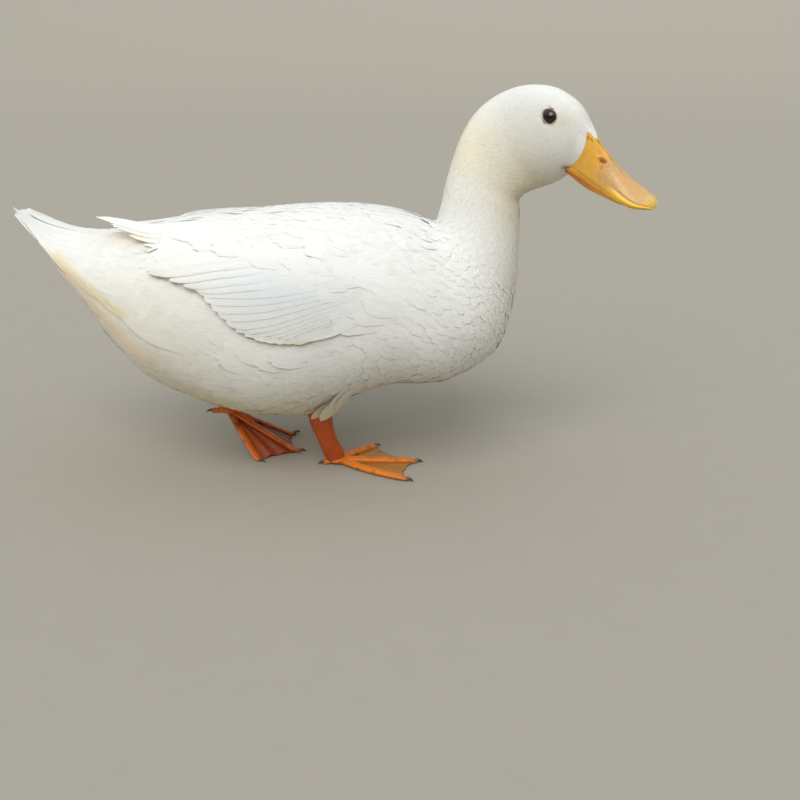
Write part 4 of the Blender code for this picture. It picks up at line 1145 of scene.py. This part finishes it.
def dirtied(points, colour, seed, count, reach, much):
    # specks of dirt: colour mixed towards it by exp(-(distance / reach)^2) round random points of the piece
    pick = np.random.default_rng(seed)
    for spot in points[pick.integers(0, len(points), count)]:
        near = np.exp(-((points - spot) ** 2).sum(-1) / (reach * pick.uniform(0.5, 1.5)) ** 2)
        colour = mixed(colour, dirtAndShadeColour, (much * near)[:, None])
    return colour


def shank(leg):
    # oval sections square to a smooth path, with plates down the front and folds of skin over the ankle
    table = np.array(leg["path"])
    knots = np.concatenate([[0], np.cumsum(np.linalg.norm(np.diff(table[:, :3], axis=0), axis=1))])
    at = np.linspace(0, knots[-1], 130)
    value = smoothTable(knots, table, at)[:, None]
    centre, fore, across = value[..., :3], value[..., 3:4], value[..., 4:5]
    along = unit(np.gradient(centre, axis=0))
    side = unit(np.cross(along, (1.0, 0, 0)))
    a, at = ringAngles(40), at[:, None, None]
    plates = 0.22 * np.abs(np.sin(at / 2.6 * np.pi / 2)) * (np.cos(a) > 0.3)
    folds = 0.45 * bell(knots[-1] - at, 7, 5.5) * np.sin(at * 2.2) * (0.5 + 0.5 * np.cos(a))
    fore = (fore + plates + folds) * np.cos(a)
    return closedLoft(centre + np.cross(side, along) * fore + side * across * np.sin(a))


def toeWay(toe):
    # the way a toe points and the way square to it
    x, y = np.cos(np.radians(toe[0])), np.sin(np.radians(toe[0]))
    return np.array((x, y, 0.0)), np.array((-y, x, 0.0))


def floorUnder(leg, part):
    # height of the sole over the floor: from the joint's height down to the floor at nine tenths of the toe
    return leg["joint"][2] * (1 - np.clip(part / 0.9, 0, 1))


def toeLine(leg, toe, part, hind=False):
    # straight out from the joint plus a sideways bend of sin(pi part); the hind toe stays level
    (ahead, side), bend = toeWay(toe), toe[2] * np.sin(np.pi * part)[..., None]
    line = np.array(leg["joint"]) + ahead * toe[1] * part[..., None] + side * bend
    line[..., 2] = leg["joint"][2] if hind else floorUnder(leg, part)
    return line


def toeShape(leg, toe, hind=False):
    # ovals along the toe, swollen at its joints, their undersides held at the sole's level
    part = np.linspace(0, 1, 60)
    full = 1 + foot["swell"] * sum(bell(part, knuckle, 0.05) for knuckle in foot["knuckles"])
    full = full * np.minimum(1, 0.25 + (1 - part) * 8) ** 0.5
    sizes = foot["toeHalf"], foot["toeTall"]
    half, tall = (((root - less * part) * full)[:, None, None] for root, less in sizes)
    a = ringAngles(24)
    up = 0.5 + 0.5 * np.where(np.sin(a) > 0, np.sin(a), np.sin(a) * 0.9)
    line = toeLine(leg, toe, part, hind)[:, None]
    return closedLoft(line + toeWay(toe)[1] * half * np.cos(a) + upwards * (tall * up))


def webShape(leg, one, two):
    # a thin sheet between two toes: straight across between them, its free edge scalloped, puckered
    # lengthwise
    part, w = np.linspace(0.06, 0.96, 40)[:, None], np.linspace(0, 1, 26)[None]
    arch = np.sin(np.pi * w)
    far = part * (1 - (0.07 + 0.012 * np.sin(w * 19)) * arch**0.7 * (part / 0.96) ** 1.5)
    sheet = toeLine(leg, one, far) * (1 - w)[..., None] + toeLine(leg, two, far) * w[..., None]
    pucker = np.clip(leg["fold"] * arch * (np.sin(w * np.pi * 5 + part * 2) * 0.5 + 0.2) * part, -0.6, 9)
    height = 1.3 + 2.2 * (1 - arch**0.4) * (1 - part * 0.6) + pucker
    return closedShell(sheet + upwards * height[..., None], sheet + upwards * 0.15)


def palm(leg):
    # a flattened ball over the joint: sin a cos b, sin a sin b and cos a times its reaches
    a, b = np.linspace(0.05, np.pi - 0.05, 24)[:, None, None], ringAngles(32)
    ball = np.concatenate([np.sin(a) * np.cos(b), np.sin(a) * np.sin(b), np.cos(a) + 0 * b], -1)
    return closedLoft(np.array(leg["joint"]) + foot["palmHigh"] * upwards + ball * foot["palm"])


def claw(name, leg, toe, hind, node):
    # a cone bent downwards, starting inside the toe: brown at its root, darker towards the point
    (ahead, side), (length, thick) = toeWay(toe), foot["claw"]
    s, a = np.linspace(0, 1, 14)[:, None], ringAngles(16)
    centre = np.array((*leg["joint"][:2], 0.0)) + (toe[1] - foot["clawStart"] + length * s) * ahead
    base = (leg["joint"][2] if hind else 0.0) + foot["clawHigh"]
    centre[:, 2:] += base + 0.5 * np.sin(s * np.pi) - 1.6 * s**2
    thin = (thick * (1 - s**1.6) + 0.08)[:, None]
    points, faces = closedLoft(centre[:, None] + thin * (side * np.cos(a) * 0.8 + upwards * np.sin(a)))
    away = np.hypot(*(points[:, :2] - leg["joint"][:2]).T)[:, None] - toe[1]
    colour = mixed(linear(clawRoot), clawPoint, ease((away + 0.5) / 4.0))
    meshPiece(name, points, faces, clawHorn, (node,), None, colour)


legSkin = hornMaterial("scaledLegSkin", 0.42, 1.3)
clawHorn = hornMaterial("clawHorn", 0.38)
for word, leg in legs.items():
    points, faces = shank(leg)
    colour = dirtied(points, linear(leg["shank"]), 3, 26, 0.9, 0.6 * leg["dirtAndShade"])
    meshPiece("shank_" + word, points, faces, legSkin, ("leg_" + word,), None, colour)
    toes = [toeShape(leg, toe) for toe in leg["toes"]] + [toeShape(leg, leg["hind"], True), palm(leg)]
    webs = [webShape(leg, one, two) for one, two in zip(leg["toes"][:-1], leg["toes"][1:])]
    points, faces = joined(toes + webs)
    isToe = np.arange(len(points))[:, None] < sum(len(p) for p, _ in toes)
    colour = np.where(isToe, linear(leg["toe"]), linear(leg["web"]))
    # darker along the soles at the floor, at the ends of the toes and along the webs' free edges: dirt, and
    # on the far left leg painted shade as well
    away = np.hypot(*(points[:, :2] - leg["joint"][:2]).T) / max(toe[1] for toe in leg["toes"])
    soiled = bell(points[:, 2], floorUnder(leg, away), 1.3) * 0.8 + ease((away - 0.78) / 0.25) * 0.6
    colour = mixed(colour, dirtAndShadeColour, (np.clip(soiled, 0, 1) * leg["dirtAndShade"])[:, None])
    colour = dirtied(points, colour, 8, 70, 1.5, 0.8 * leg["dirtAndShade"])
    meshPiece("webbedFoot_" + word, points, faces, legSkin, ("foot_" + word,), None, colour)
    for label, toe in zip(leg["order"], leg["toes"]):
        claw(f"claw_{label}_{word}", leg, toe, False, f"claw_{word}_{label}")
    claw(f"claw_hind_{word}", leg, leg["hind"], True, f"claw_{word}_hind")
print("legs made")

# plain pale floor: one sheet of painted board, flat near the bird and curving up far away on every side
stage = {"flat": 2.6, "far": 7.0, "rise": 3.8, "rings": 60, "sides": 120, "paint": "#a39e94"}
studio = {
    "sky": (0.94, 0.98, 1.0, 1.0), "skyStrength": 0.87,
    # a very wide soft light from above, a little to the front
    "sunColour": (1.0, 0.99, 0.965), "sunStrength": 2.0, "sunSpread": 46.0, "sunTurn": (41.0, -13.0, 0.0),
    "lens": 42.75, "sensor": 36.0, "cameraPlace": (0.0564, -0.755, 0.355), "cameraTurn": (68.0, 0.0, 0.0),
}


def floorBowl():
    # height = rise * (share of the way from flat to far)^2.5
    flat, far = stage["flat"], stage["far"]
    r = np.concatenate([[0.02, 0.5, 1.2, 2.0], np.linspace(flat, far, stage["rings"])])[:, None]
    a = ringAngles(stage["sides"])[..., 0]
    z = stage["rise"] * np.clip((r - flat) / (far - flat), 0, 1) ** 2.5 + 0 * a
    grid = np.stack([r * np.cos(a), r * np.sin(a), z], -1)
    points = np.concatenate([grid.reshape(-1, 3), [(0, 0, 0)]])
    edge = np.arange(stage["sides"])
    middle = np.stack([np.full(len(edge), len(points) - 1), edge, (edge + 1) % len(edge)], -1)
    faces = np.concatenate([gridFaces(len(r), stage["sides"], True), middle])
    mesh = bpy.data.meshes.new("floor")
    mesh.from_pydata(points.tolist(), [], faces.tolist())
    mesh.polygons.foreach_set("use_smooth", np.ones(len(faces), bool))
    return mesh


# matt wall paint rolled on board: no gloss, the faintest unevenness
floorMaterial, tree, shader = newMaterial("paintedBoard", {"Roughness": 0.9, "Specular IOR Level": 0.1})
place = addNode(tree, "ShaderNodeTexCoord")
mottled(tree, shader, tuple(linear(stage["paint"])), {
    "Vector": place.outputs["Object"], "Scale": 40.0, "Detail": 3.0}, {"To Min": 0.96, "To Max": 1.0})
floor = placed("floor", floorBowl())
floor.data.materials.append(floorMaterial)

scene = bpy.context.scene
scene.world = bpy.data.worlds.new("studio")
scene.world.use_nodes = True
sky = scene.world.node_tree.nodes["Background"]
sky.inputs["Color"].default_value = studio["sky"]
sky.inputs["Strength"].default_value = studio["skyStrength"]
scene.view_settings.view_transform = "Standard"  # colours shown as they are, with no film curve
sun = bpy.data.lights.new("skylight", "SUN")
sun.energy, sun.color = studio["sunStrength"], studio["sunColour"]
sun.angle = math.radians(studio["sunSpread"])
placed("skylight", sun, turn=studio["sunTurn"])
camera = bpy.data.cameras.new("camera")
camera.lens, camera.sensor_width = studio["lens"], studio["sensor"]
bpy.context.scene.camera = placed("camera", camera, studio["cameraPlace"], studio["cameraTurn"])
print("stage, lights and camera set")
